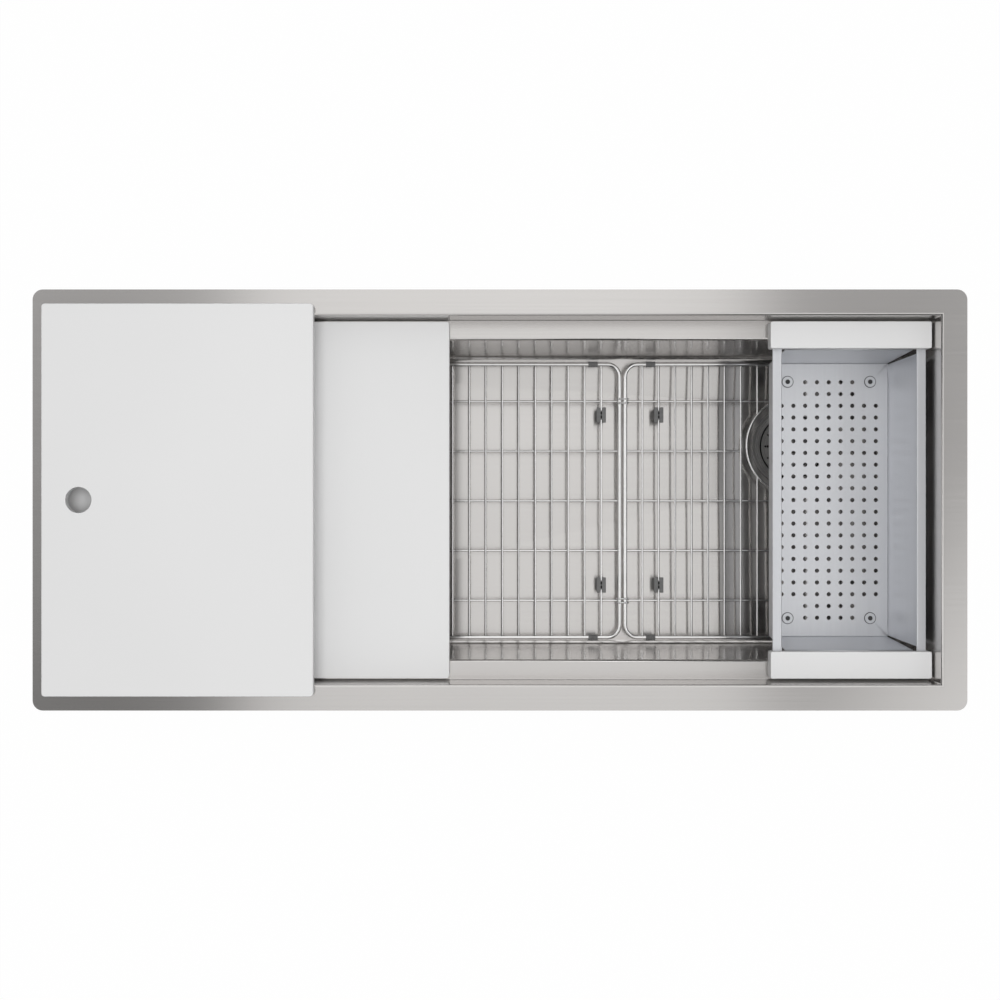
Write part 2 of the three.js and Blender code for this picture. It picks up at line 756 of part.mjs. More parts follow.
function makeHandle(name, signY) {
  const inner = signY * handleInner;
  const outer = signY * (handleInner + handleWidth);
  const x0 = colanderX - handleLength / 2;
  const x1 = colanderX + handleLength / 2;
  const y0 = Math.min(inner, outer);
  const y1 = Math.max(inner, outer);
  const top = ledgeTop + handleThickness;
  const bar = slab(x0, x1, y0, y1, ledgeTop, top, handleCorner, handleEdge, null);
  const lip = signY * (flangeReachY + seat);
  const past = signY * (handleInner - 5);
  const pocket = box(
    x0 + handleEndCheek,
    x1 - handleEndCheek,
    Math.min(lip, past),
    Math.max(lip, past),
    ledgeTop - 1,
    trayFlangeTop + seat,
  );
  let solid = bar.subtract(pocket);
  for (const signX of [-1, 1]) {
    const x = colanderX + signX * screwX;
    const screwTop = trayFlangeTop - traySheet - seat + screwLength;
    const hole = rod(x, signY * screwY, trayFlangeTop - 1, screwTop + seat, screwRadius + seat, 8);
    solid = solid.subtract(hole);
  }
  return toMesh(name, solid, handleWhite);
}

function makeColanderFittings() {
  const pieces = [];
  const trayUnderside = trayFloor - traySheet;
  const headTop = trayFlangeTop - traySheet - seat;
  let number = 1;
  for (const signX of [-1, 1]) {
    for (const signY of [-1, 1]) {
      const shankX = colanderX + signX * screwX;
      const headLow = headTop - screwHeadHeight;
      const shank = rod(shankX, signY * screwY, headLow, headTop + screwLength, screwRadius, 8);
      const head = rod(shankX, signY * screwY, headLow, headTop, screwHeadRadius, 10);
      pieces.push(toMesh(`handle_screw_${number}`, shank.add(head), chrome));
      const x = colanderX + signX * trayFootX;
      const y = signY * trayFootY;
      const washerLow = trayFloor + seat;
      const washerTop = washerLow + footWasherThickness;
      const footTop = trayUnderside - seat;
      const headFoot = washerTop + seat;
      const washer = turned([
        [footStemRadius + seat, washerLow],
        [trayFootRadius, washerLow],
        [trayFootRadius, washerTop],
        [footStemRadius + seat, washerTop],
      ], 16, x, y);
      pieces.push(toMesh(`foot_washer_${number}`, washer, traySteel));
      const foot = turned([
        [0, footTop - trayFootHeight],
        [trayFootRadius - trayFootTaper, footTop - trayFootHeight],
        [trayFootRadius, footTop - 1],
        [trayFootRadius, footTop],
        [footStemRadius, footTop],
        [footStemRadius, headFoot],
        [footHeadRadius, headFoot],
        [footHeadRadius - 0.4, headFoot + footHeadHeight],
        [0, headFoot + footHeadHeight],
      ], 12, x, y);
      pieces.push(toMesh(`colander_foot_${number}`, foot, darkRubber));
      number += 1;
    }
  }
  return pieces;
}

// ---------------------------------------------------------------- bottom grid

const gridFront = -halfBowl + gridSideGap + gridShift;
const gridRear = halfBowl - gridSideGap + gridShift;
const longZ = gridZ - longWireDrop;
const crossZ = longZ - 2 * longWire + weldOverlap;
const halves = {
  left: {
    x0: -halfLength + gridEndGap,
    x1: gridSplit - gridSplitGap / 2,
    pitch: leftPitch,
    margin: leftMargin,
    side: -1,
  },
  right: {
    x0: gridSplit + gridSplitGap / 2,
    x1: halfLength - gridEndGap,
    pitch: rightPitch,
    margin: rightMargin,
    side: 1,
  },
};

// Places of the long wires of a half, counted from the split outwards.
function longWirePlaces(half) {
  const span = half.x1 - half.x0;
  const gaps = Math.floor((span - 2 * half.margin) / half.pitch);
  const first = half.side < 0 ? half.x1 - half.margin : half.x0 + half.margin;
  return Array.from({ length: gaps + 1 }, (_, i) => first + half.side * i * half.pitch);
}

function crossWirePlaces() {
  const middle = (crossWires - 1) / 2;
  return Array.from({ length: crossWires }, (_, i) => gridShift + (i - middle) * crossPitch);
}

// Height of the bowl's floor, as the lowest of the four slopes allows at a place.
function floorHeight(x, y) {
  const rise = (fromWall, run) => Math.max(0, fromWall) / run;
  const share = Math.min(
    rise(x + halfLength, drainX - dishHalf + halfLength),
    rise(halfLength - x, halfLength - drainX - dishHalf),
    rise(y + halfBowl, drainY - dishHalf + halfBowl),
    rise(halfBowl - y, halfBowl - drainY - dishHalf),
    1,
  );
  return -bowlDepth - floorFall * share;
}

function frameLoop(half) {
  const middleX = (half.x0 + half.x1) / 2;
  const middleY = (gridFront + gridRear) / 2;
  const spanX = (half.x1 - half.x0) / 2;
  const spanY = (gridRear - gridFront) / 2;
  return rectangleRing(middleX, middleY, spanX, spanY, frameCorner, gridZ, 4);
}

function makeGridMesh(name, half) {
  const up = new THREE.Vector3(0, 0, 1);
  const pieces = [bentWire(frameLoop(half), up, frameWire, 8)];
  const hasRing = drainX > half.x0 && drainX < half.x1;
  const places = longWirePlaces(half);
  for (const x of places) {
    const offset = Math.abs(x - drainX);
    if (hasRing && offset < drainRing) {
      const chord = Math.sqrt(drainRing ** 2 - offset ** 2);
      const front = new THREE.Vector3(x, drainY - chord, longZ);
      const rear = new THREE.Vector3(x, drainY + chord, longZ);
      pieces.push(wire(new THREE.Vector3(x, gridFront, longZ), front, longWire));
      pieces.push(wire(rear, new THREE.Vector3(x, gridRear, longZ), longWire));
    } else {
      const from = new THREE.Vector3(x, gridFront, longZ);
      pieces.push(wire(from, new THREE.Vector3(x, gridRear, longZ), longWire));
    }
  }
  for (const y of crossWirePlaces()) {
    const offset = Math.abs(y - drainY);
    const from = new THREE.Vector3(half.x0, y, crossZ);
    const to = new THREE.Vector3(half.x1, y, crossZ);
    if (hasRing && offset < drainRing) {
      const chord = Math.sqrt(drainRing ** 2 - offset ** 2);
      const isSquareOn = offset < drainRing / 2;
      const before = places.filter((x) => x < drainX - drainRing).pop();
      const after = places.find((x) => x > drainX + drainRing);
      const stop = isSquareOn ? before + longWire : drainX - chord;
      const start = isSquareOn ? after - longWire : drainX + chord;
      pieces.push(wire(from, new THREE.Vector3(stop, y, crossZ), longWire));
      pieces.push(wire(new THREE.Vector3(start, y, crossZ), to, longWire));
    } else {
      pieces.push(wire(from, to, longWire));
    }
  }
  if (hasRing) {
    const loop = [];
    const steps = 32;
    for (let i = 0; i < steps; i += 1) {
      const angle = (i / steps) * Math.PI * 2;
      const x = drainX + drainRing * Math.cos(angle);
      loop.push(new THREE.Vector3(x, drainY + drainRing * Math.sin(angle), longZ));
    }
    pieces.push(bentWire(loop, up, drainRingWire, 6));
  }
  return toMesh(name, joinAll(pieces), wireSteel);
}

// A rubber foot snapped over a long wire, notched at both ends, standing on the floor.
function makeGridFoot(name, x, y) {
  const x0 = x - gridFootWidth / 2;
  const x1 = x + gridFootWidth / 2;
  const y0 = y - gridFootLength / 2;
  const y1 = y + gridFootLength / 2;
  const standing = Math.max(...[x0, x1].flatMap((px) => [floorHeight(px, y0), floorHeight(px, y1)]));
  const top = longZ + longWire + gridFootCover;
  const clear = longWire + seat;
  const from = new THREE.Vector3(x, y0 - 1, longZ);
  const to = new THREE.Vector3(x, y1 + 1, longZ);
  const channel = wire(from, to, clear / Math.cos(Math.PI / 6));
  const notch = (a, b) => box(x - clear, x + clear, a, b, longZ, top + 1);
  const solid = box(x0, x1, y0, y1, standing + seat, top)
    .subtract(channel)
    .subtract(notch(y0 - 1, y0 + gridFootNotch))
    .subtract(notch(y1 - gridFootNotch, y1 + 1));
  return toMesh(name, solid, darkRubber);
}

// A rubber sleeve round the frame wire, which keeps it off the bowl's wall.
function makeBumper(name, x, y) {
  const sleeve = turned([
    [frameWire + seat, -bumperLength / 2],
    [bumperRadius, -bumperLength / 2],
    [bumperRadius, bumperLength / 2],
    [frameWire + seat, bumperLength / 2],
  ], 12, 0, 0);
  const mesh = toMesh(name, sleeve, darkRubber);
  mesh.geometry.rotateY(Math.PI / 2);
  mesh.geometry.translate(x, y, gridZ);
  return mesh;
}

function makeGridHalf(label) {
  const half = halves[label];
  const places = longWirePlaces(half);
  const last = places.length - 1;
  const footPlaces = label === 'left' ? [0, Math.round(last / 2), last] : [1, last];
  const meshes = [makeGridMesh(`grid_${label}_wires`, half)];
  let number = 1;
  for (const index of footPlaces) {
    for (const y of [-gridFootY, gridFootY]) {
      meshes.push(makeGridFoot(`grid_${label}_foot_${number}`, places[index], y));
      number += 1;
    }
  }
  number = 1;
  for (const index of [0, last - 1]) {
    const x = (places[index] + places[index + 1]) / 2;
    for (const y of [gridFront, gridRear]) {
      meshes.push(makeBumper(`grid_${label}_bumper_${number}`, x, y));
      number += 1;
    }
  }
  return meshes;
}

// Closed oval wire rings, in pairs, that tie the two frames together side by side.
function makeLinks() {
  const along = new THREE.Vector3(0, 1, 0);
  const bend = frameWire + linkClearance + linkWire;
  const steps = 5;
  const loopAt = (y) => {
    const loop = [];
    for (const sign of [1, -1]) {
      for (let i = 0; i <= steps; i += 1) {
        const angle = (i / steps - 0.5) * Math.PI;
        const x = gridSplit + sign * (gridSplitGap / 2 + bend * Math.cos(angle));
        loop.push(new THREE.Vector3(x, y, gridZ + sign * bend * Math.sin(angle)));
      }
    }
    return loop;
  };
  const rows = crossWirePlaces();
  const meshes = [];
  for (const row of [rows[0], rows[crossWires - 1]]) {
    for (const offset of [-linkOffset, linkOffset]) {
      const solid = bentWire(loopAt(row + offset), along, linkWire, 6);
      meshes.push(toMesh(`grid_link_${meshes.length + 1}`, solid, wireSteel));
    }
  }
  return meshes;
}

// ---------------------------------------------------------------- the whole sink

function assembly(...meshes) {
  const group = new THREE.Group();
  group.add(...meshes.flat());
  return group;
}

const sink = new THREE.Group();
sink.add(
  assembly(makeBowl(), makeSoundPads()),
  assembly(makeDrainBody(), makeDrainStack(), makeTailpiece()),
  assembly(makeBasketCup(), makeBasketFittings()),
  assembly(makeUpperBoard()),
  assembly(makeLowerBoard()),
  assembly(
    makeTray(),
    makeHandle('colander_handle_front', -1),
    makeHandle('colander_handle_rear', 1),
    makeColanderFittings(),
  ),
  assembly(makeGridHalf('left')),
  assembly(makeGridHalf('right')),
  assembly(makeLinks()),
);

export default sink;
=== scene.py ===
import math

import bmesh
import bpy
from bmesh.types import BMEdge, BMFace, BMVert
from mathutils import Matrix, Vector


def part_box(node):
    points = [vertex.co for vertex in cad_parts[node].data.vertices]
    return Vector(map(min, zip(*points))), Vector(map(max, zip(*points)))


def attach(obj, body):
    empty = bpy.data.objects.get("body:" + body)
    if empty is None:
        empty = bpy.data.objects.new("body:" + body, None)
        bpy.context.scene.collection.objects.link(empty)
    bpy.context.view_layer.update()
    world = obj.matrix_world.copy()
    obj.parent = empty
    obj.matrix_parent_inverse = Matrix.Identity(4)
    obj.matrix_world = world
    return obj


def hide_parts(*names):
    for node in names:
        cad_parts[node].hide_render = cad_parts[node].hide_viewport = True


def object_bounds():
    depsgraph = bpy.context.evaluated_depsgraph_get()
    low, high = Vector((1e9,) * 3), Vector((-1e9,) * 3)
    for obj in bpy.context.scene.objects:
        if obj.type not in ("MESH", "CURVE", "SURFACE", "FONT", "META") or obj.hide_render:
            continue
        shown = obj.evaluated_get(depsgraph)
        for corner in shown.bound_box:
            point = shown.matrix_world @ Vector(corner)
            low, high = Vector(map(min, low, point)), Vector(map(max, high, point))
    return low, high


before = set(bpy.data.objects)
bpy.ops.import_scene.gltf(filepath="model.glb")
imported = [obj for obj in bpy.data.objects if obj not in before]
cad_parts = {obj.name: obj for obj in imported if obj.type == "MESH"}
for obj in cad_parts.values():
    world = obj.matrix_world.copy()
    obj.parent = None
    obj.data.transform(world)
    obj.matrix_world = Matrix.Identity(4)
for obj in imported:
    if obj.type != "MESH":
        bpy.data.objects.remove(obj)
cad_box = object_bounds()

# ---------------------------------------------------------------------------------------
# Camera. The sink is seen from straight above, with its rear edge at the top of the picture.
# The height and the lens give the photo's frame and the way the bowl narrows with depth.

CAMERA_HEIGHT = 1.717
camera_data = bpy.data.cameras.new("camera")
camera_data.lens = 50
camera_data.sensor_width = 36
camera = bpy.data.objects.new("camera", camera_data)
camera.location = (0, 0, CAMERA_HEIGHT)
bpy.context.scene.collection.objects.link(camera)
bpy.context.scene.camera = camera
bpy.context.scene.view_settings.view_transform = "Standard"

# ---------------------------------------------------------------------------------------
# Studio. Brushed steel mirrors a dome with a bright panel overhead and a darker stretch on
# each side of it, and polished wire a strip lamp on the left and the right. Matt surfaces
# take an even light from all round, and that of a soft lamp above the camera.

world = bpy.data.worlds.new("studio")
bpy.context.scene.world = world
world.use_nodes = True
dome = world.node_tree
dome.nodes.clear()


def link_node(tree, kind, inputs=None, **settings):
    """Adds a shader node, sets its options, and sets or links its inputs by name or number."""
    node = tree.nodes.new(kind)
    for key, value in settings.items():
        setattr(node, key, value)
    for key, value in (inputs or {}).items():
        if isinstance(value, bpy.types.NodeSocket):
            tree.links.new(value, node.inputs[key])
        else:
            node.inputs[key].default_value = value
    return node


def reckon(tree, operation, *values):
    """Does one piece of arithmetic and gives its result."""
    inputs = dict(enumerate(values))
    return link_node(tree, "ShaderNodeMath", inputs, operation=operation).outputs[0]


def slide(tree, value, start, end, low, high, kind="LINEAR"):
    """Goes from low to high while a value goes from start to end."""
    inputs = {0: value, 1: start, 2: end, 3: low, 4: high}
    return link_node(tree, "ShaderNodeMapRange", inputs, interpolation_type=kind).outputs[0]


def blend_shades(tree, share, first, second):
    """Goes from one grey to another as a share goes from 0 to 1."""
    return link_node(tree, "ShaderNodeMix", {0: share, 2: first, 3: second}).outputs[0]


def passed(value, edge, before, after):
    """Changes one shade of the dome for another where a value passes an edge (start, end)."""
    return blend_shades(dome, slide(dome, value, *edge, 0, 1, "SMOOTHSTEP"), before, after)


# Greys, where 1 is white, and edges, as a direction's lean across or along over its height.
HORIZON = 0.12
TENT = 0.42
RIGHT_GLARE = 1.02
GLARE_SLANT = -0.77
GLARE_EDGE = (0.355, 0.385)
PANEL_LEFT = (-0.205, -0.175)
PANEL_RIGHT = (0.178, 0.196)
DOME_SIDES = (0.48, 0.55)
DOME_ENDS = (1.5, 2.0)
LEAST_HEIGHT = 0.05
sky = link_node(dome, "ShaderNodeTexCoord")
sky_parts = link_node(dome, "ShaderNodeSeparateXYZ", {0: sky.outputs["Generated"]})
sky_height = reckon(dome, "MAXIMUM", sky_parts.outputs[2], LEAST_HEIGHT)
sky_across = reckon(dome, "DIVIDE", sky_parts.outputs[0], sky_height)
sky_along = reckon(dome, "DIVIDE", sky_parts.outputs[1], sky_height)
sky_slant = reckon(dome, "MULTIPLY_ADD", sky_along, GLARE_SLANT, sky_across)
left_stretch = slide(dome, sky_along, -0.42, 0.6, 0.02, 0.86)
panel = slide(dome, sky_along, -0.6, 0.6, 0.66, 1.26)
right_low = slide(dome, sky_along, -0.3, 0.3, 0.16, 0.54)
right_stretch = passed(sky_slant, GLARE_EDGE, right_low, RIGHT_GLARE)
shade = passed(sky_across, PANEL_LEFT, left_stretch, panel)
shade = passed(sky_across, PANEL_RIGHT, shade, right_stretch)
shade = passed(reckon(dome, "ABSOLUTE", sky_along), DOME_ENDS, shade, HORIZON)
shade = passed(reckon(dome, "ABSOLUTE", sky_across), DOME_SIDES, shade, HORIZON)
sight = link_node(dome, "ShaderNodeLightPath")
shade = blend_shades(dome, sight.outputs["Is Diffuse Ray"], shade, TENT)
studio_light = link_node(dome, "ShaderNodeBackground", {0: shade, 1: 1.0})
backdrop = link_node(dome, "ShaderNodeBackground", {0: (1, 1, 1, 1), 1: 1.0})
dome_mix = link_node(
    dome,
    "ShaderNodeMixShader",
    {0: sight.outputs["Is Camera Ray"], 1: studio_light.outputs[0], 2: backdrop.outputs[0]},
)
link_node(dome, "ShaderNodeOutputWorld", {0: dome_mix.outputs[0]})


def soft_lamp(name, place, width, depth, glow):
    """A soft rectangular lamp that points down, with its brightness where 1 is white."""
    light = bpy.data.lights.new(name, "AREA")
    light.shape = "RECTANGLE"
    light.size = width
    light.size_y = depth
    light.energy = glow * math.pi * width * depth
    lamp = bpy.data.objects.new(name, light)
    lamp.location = place
    lamp.visible_camera = False
    bpy.context.scene.collection.objects.link(lamp)
    return lamp


top_lamp = soft_lamp("top_lamp", place=(-0.05, 0, 2.2), width=1.2, depth=1.0, glow=7.2)
top_lamp.visible_glossy = False
for side_name, side in (("left", -1), ("right", 1)):
    strip_lamp = soft_lamp(
        f"{side_name}_strip", place=(side * 26, 0, 30), width=20, depth=50, glow=1.8
    )
    strip_lamp.visible_diffuse = False

# ---------------------------------------------------------------------------------------
# Floor. A white sweep under the drain pipe; the camera sees it nearly white, and the sink
# still lays a faint shadow on it.

MM = 0.001
SEEN_WHITE = 0.985
floor_bm = bmesh.new()
bmesh.ops.create_grid(floor_bm, x_segments=1, y_segments=1, size=6)
bmesh.ops.translate(floor_bm, vec=(0, 0, cad_box[0].z - MM), verts=floor_bm.verts)
floor_mesh = bpy.data.meshes.new("floor")
floor_bm.to_mesh(floor_mesh)
floor_bm.free()
floor = bpy.data.objects.new("floor", floor_mesh)
bpy.context.scene.collection.objects.link(floor)
floor_paint = bpy.data.materials.new("floor_paint")
floor_paint.use_nodes = True
tree = floor_paint.node_tree
tree.nodes.clear()
matt = link_node(tree, "ShaderNodeBsdfDiffuse", {0: (0.86, 0.86, 0.86, 1)})
glow = link_node(tree, "ShaderNodeEmission", {0: (1, 1, 1, 1), 1: 1.0})
seen = link_node(tree, "ShaderNodeLightPath")
seen_share = reckon(tree, "MULTIPLY", seen.outputs["Is Camera Ray"], SEEN_WHITE)
floor_mix = link_node(
    tree, "ShaderNodeMixShader", {0: seen_share, 1: matt.outputs[0], 2: glow.outputs[0]}
)
link_node(tree, "ShaderNodeOutputMaterial", {0: floor_mix.outputs[0]})
floor_mesh.materials.append(floor_paint)

# ---------------------------------------------------------------------------------------
# Bowl. One skin of stainless sheet, 1.6 mm thick: a flat rim, a step down to the front and
# rear ledges, straight walls, and a floor that falls on four slopes to the drain's recess.
# It is pressed and welded, and brushed along its length.

TINY = 1e-6
SHEET = 1.6 * MM
RIM_CORNER = 12.7 * MM
OPENING_X = 546.1 * MM
OPENING_Y = 228.6 * MM
LEDGE_Y = 203.2 * MM
LEDGE_Z = -50.8 * MM
FLOOR_Z = -252 * MM
DISH_Z = -258 * MM
DISH_HALF = 62.25 * MM
RECESS_Z = -261 * MM
RECESS_RADIUS = 58.65 * MM
RECESS_SIDES = 96
BORE_RADIUS = 46.4 * MM
DRAIN = Vector((415.1 * MM, 76.2 * MM, 0))
UPPER_BEND = 3 * MM
FLOOR_BEND = 5.5 * MM
WALL_CORNER = 0.8 * MM
rim_low, rim_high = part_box("sink_bowl")


def finish_material(name, colour, roughness, metallic):
    """Starts a material with its plain values set on the shader itself."""
    material = bpy.data.materials.new(name)
    material.use_nodes = True
    shader = material.node_tree.nodes["Principled BSDF"]
    shader.inputs["Base Color"].default_value = (*colour, 1)
    shader.inputs["Roughness"].default_value = roughness
    shader.inputs["Metallic"].default_value = metallic
    return material, material.node_tree, shader


def grain(tree, stretch, scale, detail):
    """Noise on object coordinates, stretched so that a low number draws it out that way."""
    where = link_node(tree, "ShaderNodeTexCoord")
    mapped = link_node(tree, "ShaderNodeMapping", {0: where.outputs["Object"], 3: stretch})
    inputs = {0: mapped.outputs[0], "Scale": scale, "Detail": detail}
    return link_node(tree, "ShaderNodeTexNoise", inputs).outputs[0]


def tint(tree, shader, pattern, dark, light):
    """Lets a pattern lead the colour between two near ones."""
    ramp = link_node(tree, "ShaderNodeValToRGB", {0: pattern})
    for element, place, colour in zip(ramp.color_ramp.elements, (0.3, 0.7), (dark, light)):
        element.position = place
        element.color = (*colour, 1)
    tree.links.new(ramp.outputs[0], shader.inputs["Base Color"])


def wear(tree, shader, pattern, low, high):
    """Lets a pattern lead the roughness from low to high."""
    tree.links.new(slide(tree, pattern, 0.25, 0.75, low, high), shader.inputs["Roughness"])


def relief(tree, shader, pattern, distance):
    """Raises a pattern on the surface by a small distance in metres."""
    inputs = {"Height": pattern, "Distance": distance, "Strength": 1.0}
    bump = link_node(tree, "ShaderNodeBump", inputs)
    tree.links.new(bump.outputs[0], shader.inputs["Normal"])


def brushed_steel(name, dark, light, rough_low, rough_high, stretch, depth):
    """Stainless sheet with fine lines drawn one way, and a broad, faint cloudiness."""
    material, tree, shader = finish_material(name, light, rough_low, 1.0)
    lines = grain(tree, stretch, 1.0, 6.0)
    clouds = grain(tree, (1, 1, 1), 5.0, 3.0)
    both = blend_shades(tree, 0.45, lines, clouds)
    tint(tree, shader, both, dark, light)
    wear(tree, shader, both, rough_low, rough_high)
    relief(tree, shader, lines, depth)
    return material, tree, shader


def add_piece(bm, name, material, body, nodes):
    """Makes an object of a finished mesh, gives it its finish, and puts it in the frame."""
    mesh = bpy.data.meshes.new(name)
    bm.to_mesh(mesh)
    bm.free()
    mesh.materials.append(material)
    piece = bpy.data.objects.new(name, mesh)
    bpy.context.scene.collection.objects.link(piece)
    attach(piece, body)
    if nodes:
        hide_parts(*nodes)
    return piece


def add_gauge(piece, thickness, is_even=True):
    """Gives a sheet its thickness on the side away from its faces."""
    gauge = piece.modifiers.new("gauge", "SOLIDIFY")
    gauge.thickness = thickness
    gauge.offset = -1
    gauge.use_even_offset = is_even


def new_face(bm, corners):
    """Lays one face with corners of its own."""
    return bm.faces.new([bm.verts.new(corner) for corner in corners])


def flat_face(bm, x0, x1, y0, y1, z):
    """Lays one upright-facing rectangle."""
    return new_face(bm, [(x0, y0, z), (x1, y0, z), (x1, y1, z), (x0, y1, z)])


def only(items, kind):
    """The items of one kind in what an operator makes."""
    return [item for item in items if isinstance(item, kind)]


def edges_at(verts):
    """The edges that meet at some corners, each once."""
    return list(dict.fromkeys(edge for vert in verts for edge in vert.link_edges))


def circle(bm, place, radius, sides, turn=Matrix()):
    """Lays a circle about a place and returns its corners and edges."""
    matrix = Matrix.Translation(place) @ turn
    made = bmesh.ops.create_circle(bm, segments=sides, radius=radius, matrix=matrix)
    return made["verts"], edges_at(made["verts"])


def cleared(bm, verts):
    """Takes out the faces that a fill laid inside a loop of corners."""
    for face in bm.faces[:]:
        if all(vert in verts for vert in face.verts):
            bm.faces.remove(face)


def raised(bm, faces, way):
    """Extrudes faces by a vector and returns all that this makes."""
    made = bmesh.ops.extrude_face_region(bm, geom=faces)["geom"]
    bmesh.ops.translate(bm, vec=way, verts=only(made, BMVert))
    return made


def pushed(bm, faces, way):
    """Moves faces by a vector, with walls behind them, and returns the moved faces."""
    made = raised(bm, faces, way)
    bmesh.ops.delete(bm, geom=faces, context="FACES_ONLY")
    return only(made, BMFace)


def round_plan(bm, face, radius, segments):
    """Rounds the corners of a flat face in its own plane."""
    bmesh.ops.bevel(
        bm,
        geom=face.verts[:],
        offset=radius,
        segments=segments,
        profile=0.5,
        affect="VERTICES",
        material=-1,
    )


def rounded(bm, edges, radius, segments):
    """Rounds edges; the new strips shade smoothly, and the flats beside them stay flat."""
    made = bmesh.ops.bevel(
        bm,
        geom=list(edges),
        offset=radius,
        offset_type="OFFSET",
        segments=segments,
        profile=0.5,
        affect="EDGES",
        material=-1,
    )
    for face in made["faces"]:
        face.smooth = True


def facing_up(bm):
    """Turns the faces of an open sheet one way, so that its wide side faces up."""
    bmesh.ops.recalc_face_normals(bm, faces=bm.faces)
    if sum(face.normal.z * face.calc_area() for face in bm.faces) < 0:
        bmesh.ops.reverse_faces(bm, faces=bm.faces)


def along(edge, axis):
    """Tells whether an edge runs along one axis, 0 for X, 1 for Y and 2 for Z."""
    span = edge.verts[1].co - edge.verts[0].co
    return abs(abs(span[axis]) - span.length) < TINY


def is_at_ledge(place):
    """Tells whether a place is at the height of the ledges."""
    return abs(place.z - LEDGE_Z) < TINY


def bends(bm, turn_way):
    """The sharp edges of the sheet that turn outwards (1) or inwards (-1), the drain apart."""
    return [
        edge
        for edge in bm.edges
        if len(edge.link_faces) == 2
        and edge.calc_face_angle_signed(0) * turn_way > math.radians(60)
        and max((vert.co.xy - DRAIN.xy).length for vert in edge.verts) > DISH_HALF
    ]


bowl_steel, tree, shader = brushed_steel(
    "bowl_steel",
    dark=(0.63, 0.612, 0.597),
    light=(0.67, 0.652, 0.637),
    rough_low=0.175,
    rough_high=0.2,
    stretch=(2.5, 420, 420),
    depth=0.003 * MM,
)
shader.inputs["Anisotropic"].default_value = 0.8
across_brushing = link_node(tree, "ShaderNodeCombineXYZ", {0: 0.0, 1: 1.0, 2: 3.0})
tree.links.new(across_brushing.outputs[0], shader.inputs["Tangent"])

bowl = bmesh.new()
rim = flat_face(bowl, rim_low.x, rim_high.x, rim_low.y, rim_high.y, 0)
round_plan(bowl, rim, RIM_CORNER, 8)
rim_edges = bowl.edges[:]
bmesh.ops.delete(bowl, geom=bowl.faces[:], context="FACES_ONLY")
mouth = flat_face(bowl, -OPENING_X, OPENING_X, -OPENING_Y, OPENING_Y, 0)
bmesh.ops.triangle_fill(bowl, use_beauty=True, edges=rim_edges + mouth.edges[:])
for face in bowl.faces[:]:
    reach_x = max(abs(vert.co.x) for vert in face.verts)
    reach_y = max(abs(vert.co.y) for vert in face.verts)
    if face is not mouth and reach_x < OPENING_X + TINY and reach_y < OPENING_Y + TINY:
        bowl.faces.remove(face)
pushed(bowl, [mouth], (0, 0, LEDGE_Z))
for side in (-1, 1):
    level = [face for face in bowl.faces if is_at_ledge(face.calc_center_median())]
    level += [edge for edge in bowl.edges if all(is_at_ledge(vert.co) for vert in edge.verts)]
    bmesh.ops.bisect_plane(bowl, geom=level, plane_co=(0, side * LEDGE_Y, 0), plane_no=(0, 1, 0))
well = [
    face
    for face in bowl.faces
    if is_at_ledge(face.calc_center_median()) and abs(face.calc_center_median().y) < LEDGE_Y
]
floor_faces = pushed(bowl, well, (0, 0, FLOOR_Z - LEDGE_Z))
slope_faces = pushed(bowl, floor_faces, (0, 0, DISH_Z - FLOOR_Z))
for vert in slope_faces[0].verts:
    vert.co.x = DRAIN.x + math.copysign(DISH_HALF, vert.co.x)
    vert.co.y = DRAIN.y + math.copysign(DISH_HALF, vert.co.y)
flush = [
    edge
    for edge in bowl.edges
    if along(edge, 1)
    and all(is_at_ledge(vert.co) and abs(vert.co.y) < LEDGE_Y + TINY for vert in edge.verts)
]
bmesh.ops.dissolve_edges(bowl, edges=flush, use_verts=False)
dish_edges = slope_faces[0].edges[:]
bmesh.ops.delete(bowl, geom=slope_faces, context="FACES_ONLY")
recess, recess_edges = circle(bowl, (*DRAIN.xy, DISH_Z), RECESS_RADIUS, RECESS_SIDES)
bmesh.ops.triangle_fill(bowl, use_beauty=True, edges=dish_edges + recess_edges)
cleared(bowl, set(recess))
ring = bmesh.ops.extrude_edge_only(bowl, edges=recess_edges)["geom"]
bmesh.ops.translate(bowl, vec=(0, 0, RECESS_Z - DISH_Z), verts=only(ring, BMVert))
ring = bmesh.ops.extrude_edge_only(bowl, edges=only(ring, BMEdge))["geom"]
shrink = BORE_RADIUS / RECESS_RADIUS
bmesh.ops.scale(
    bowl,
    vec=(shrink, shrink, 1),
    space=Matrix.Translation(-DRAIN),
    verts=only(ring, BMVert),
)
bmesh.ops.remove_doubles(bowl, verts=bowl.verts, dist=TINY)
facing_up(bowl)
rounded(bowl, bends(bowl, 1), UPPER_BEND, 4)
foot_bends = [
    edge for edge in bends(bowl, -1) if max(vert.co.z for vert in edge.verts) < FLOOR_Z + MM
]
rounded(bowl, foot_bends, FLOOR_BEND, 5)
corners = [edge for edge in bends(bowl, -1) if edge.calc_length() > 4 * FLOOR_BEND]
rounded(bowl, corners, WALL_CORNER, 2)
sink = add_piece(bowl, "bowl", bowl_steel, "root", ["sink_bowl"])
add_gauge(sink, SHEET)

# ---------------------------------------------------------------------------------------
# Sound pads. Black rubber sheets glued to the outside of the walls and the floor, so that
# running water doesn't ring. They keep their plain moulded shape.


def rubber(name, dark, light, roughness, scale, distance):
    """Moulded rubber: a faint bloom over a fine, dull grain."""
    material, tree, shader = finish_material(name, dark, roughness, 0.0)
    bloom = grain(tree, (1, 1, 1), scale, 5.0)
    tint(tree, shader, bloom, dark, light)
    wear(tree, shader, bloom, roughness - 0.08, roughness + 0.08)
    relief(tree, shader, bloom, distance)
    return material


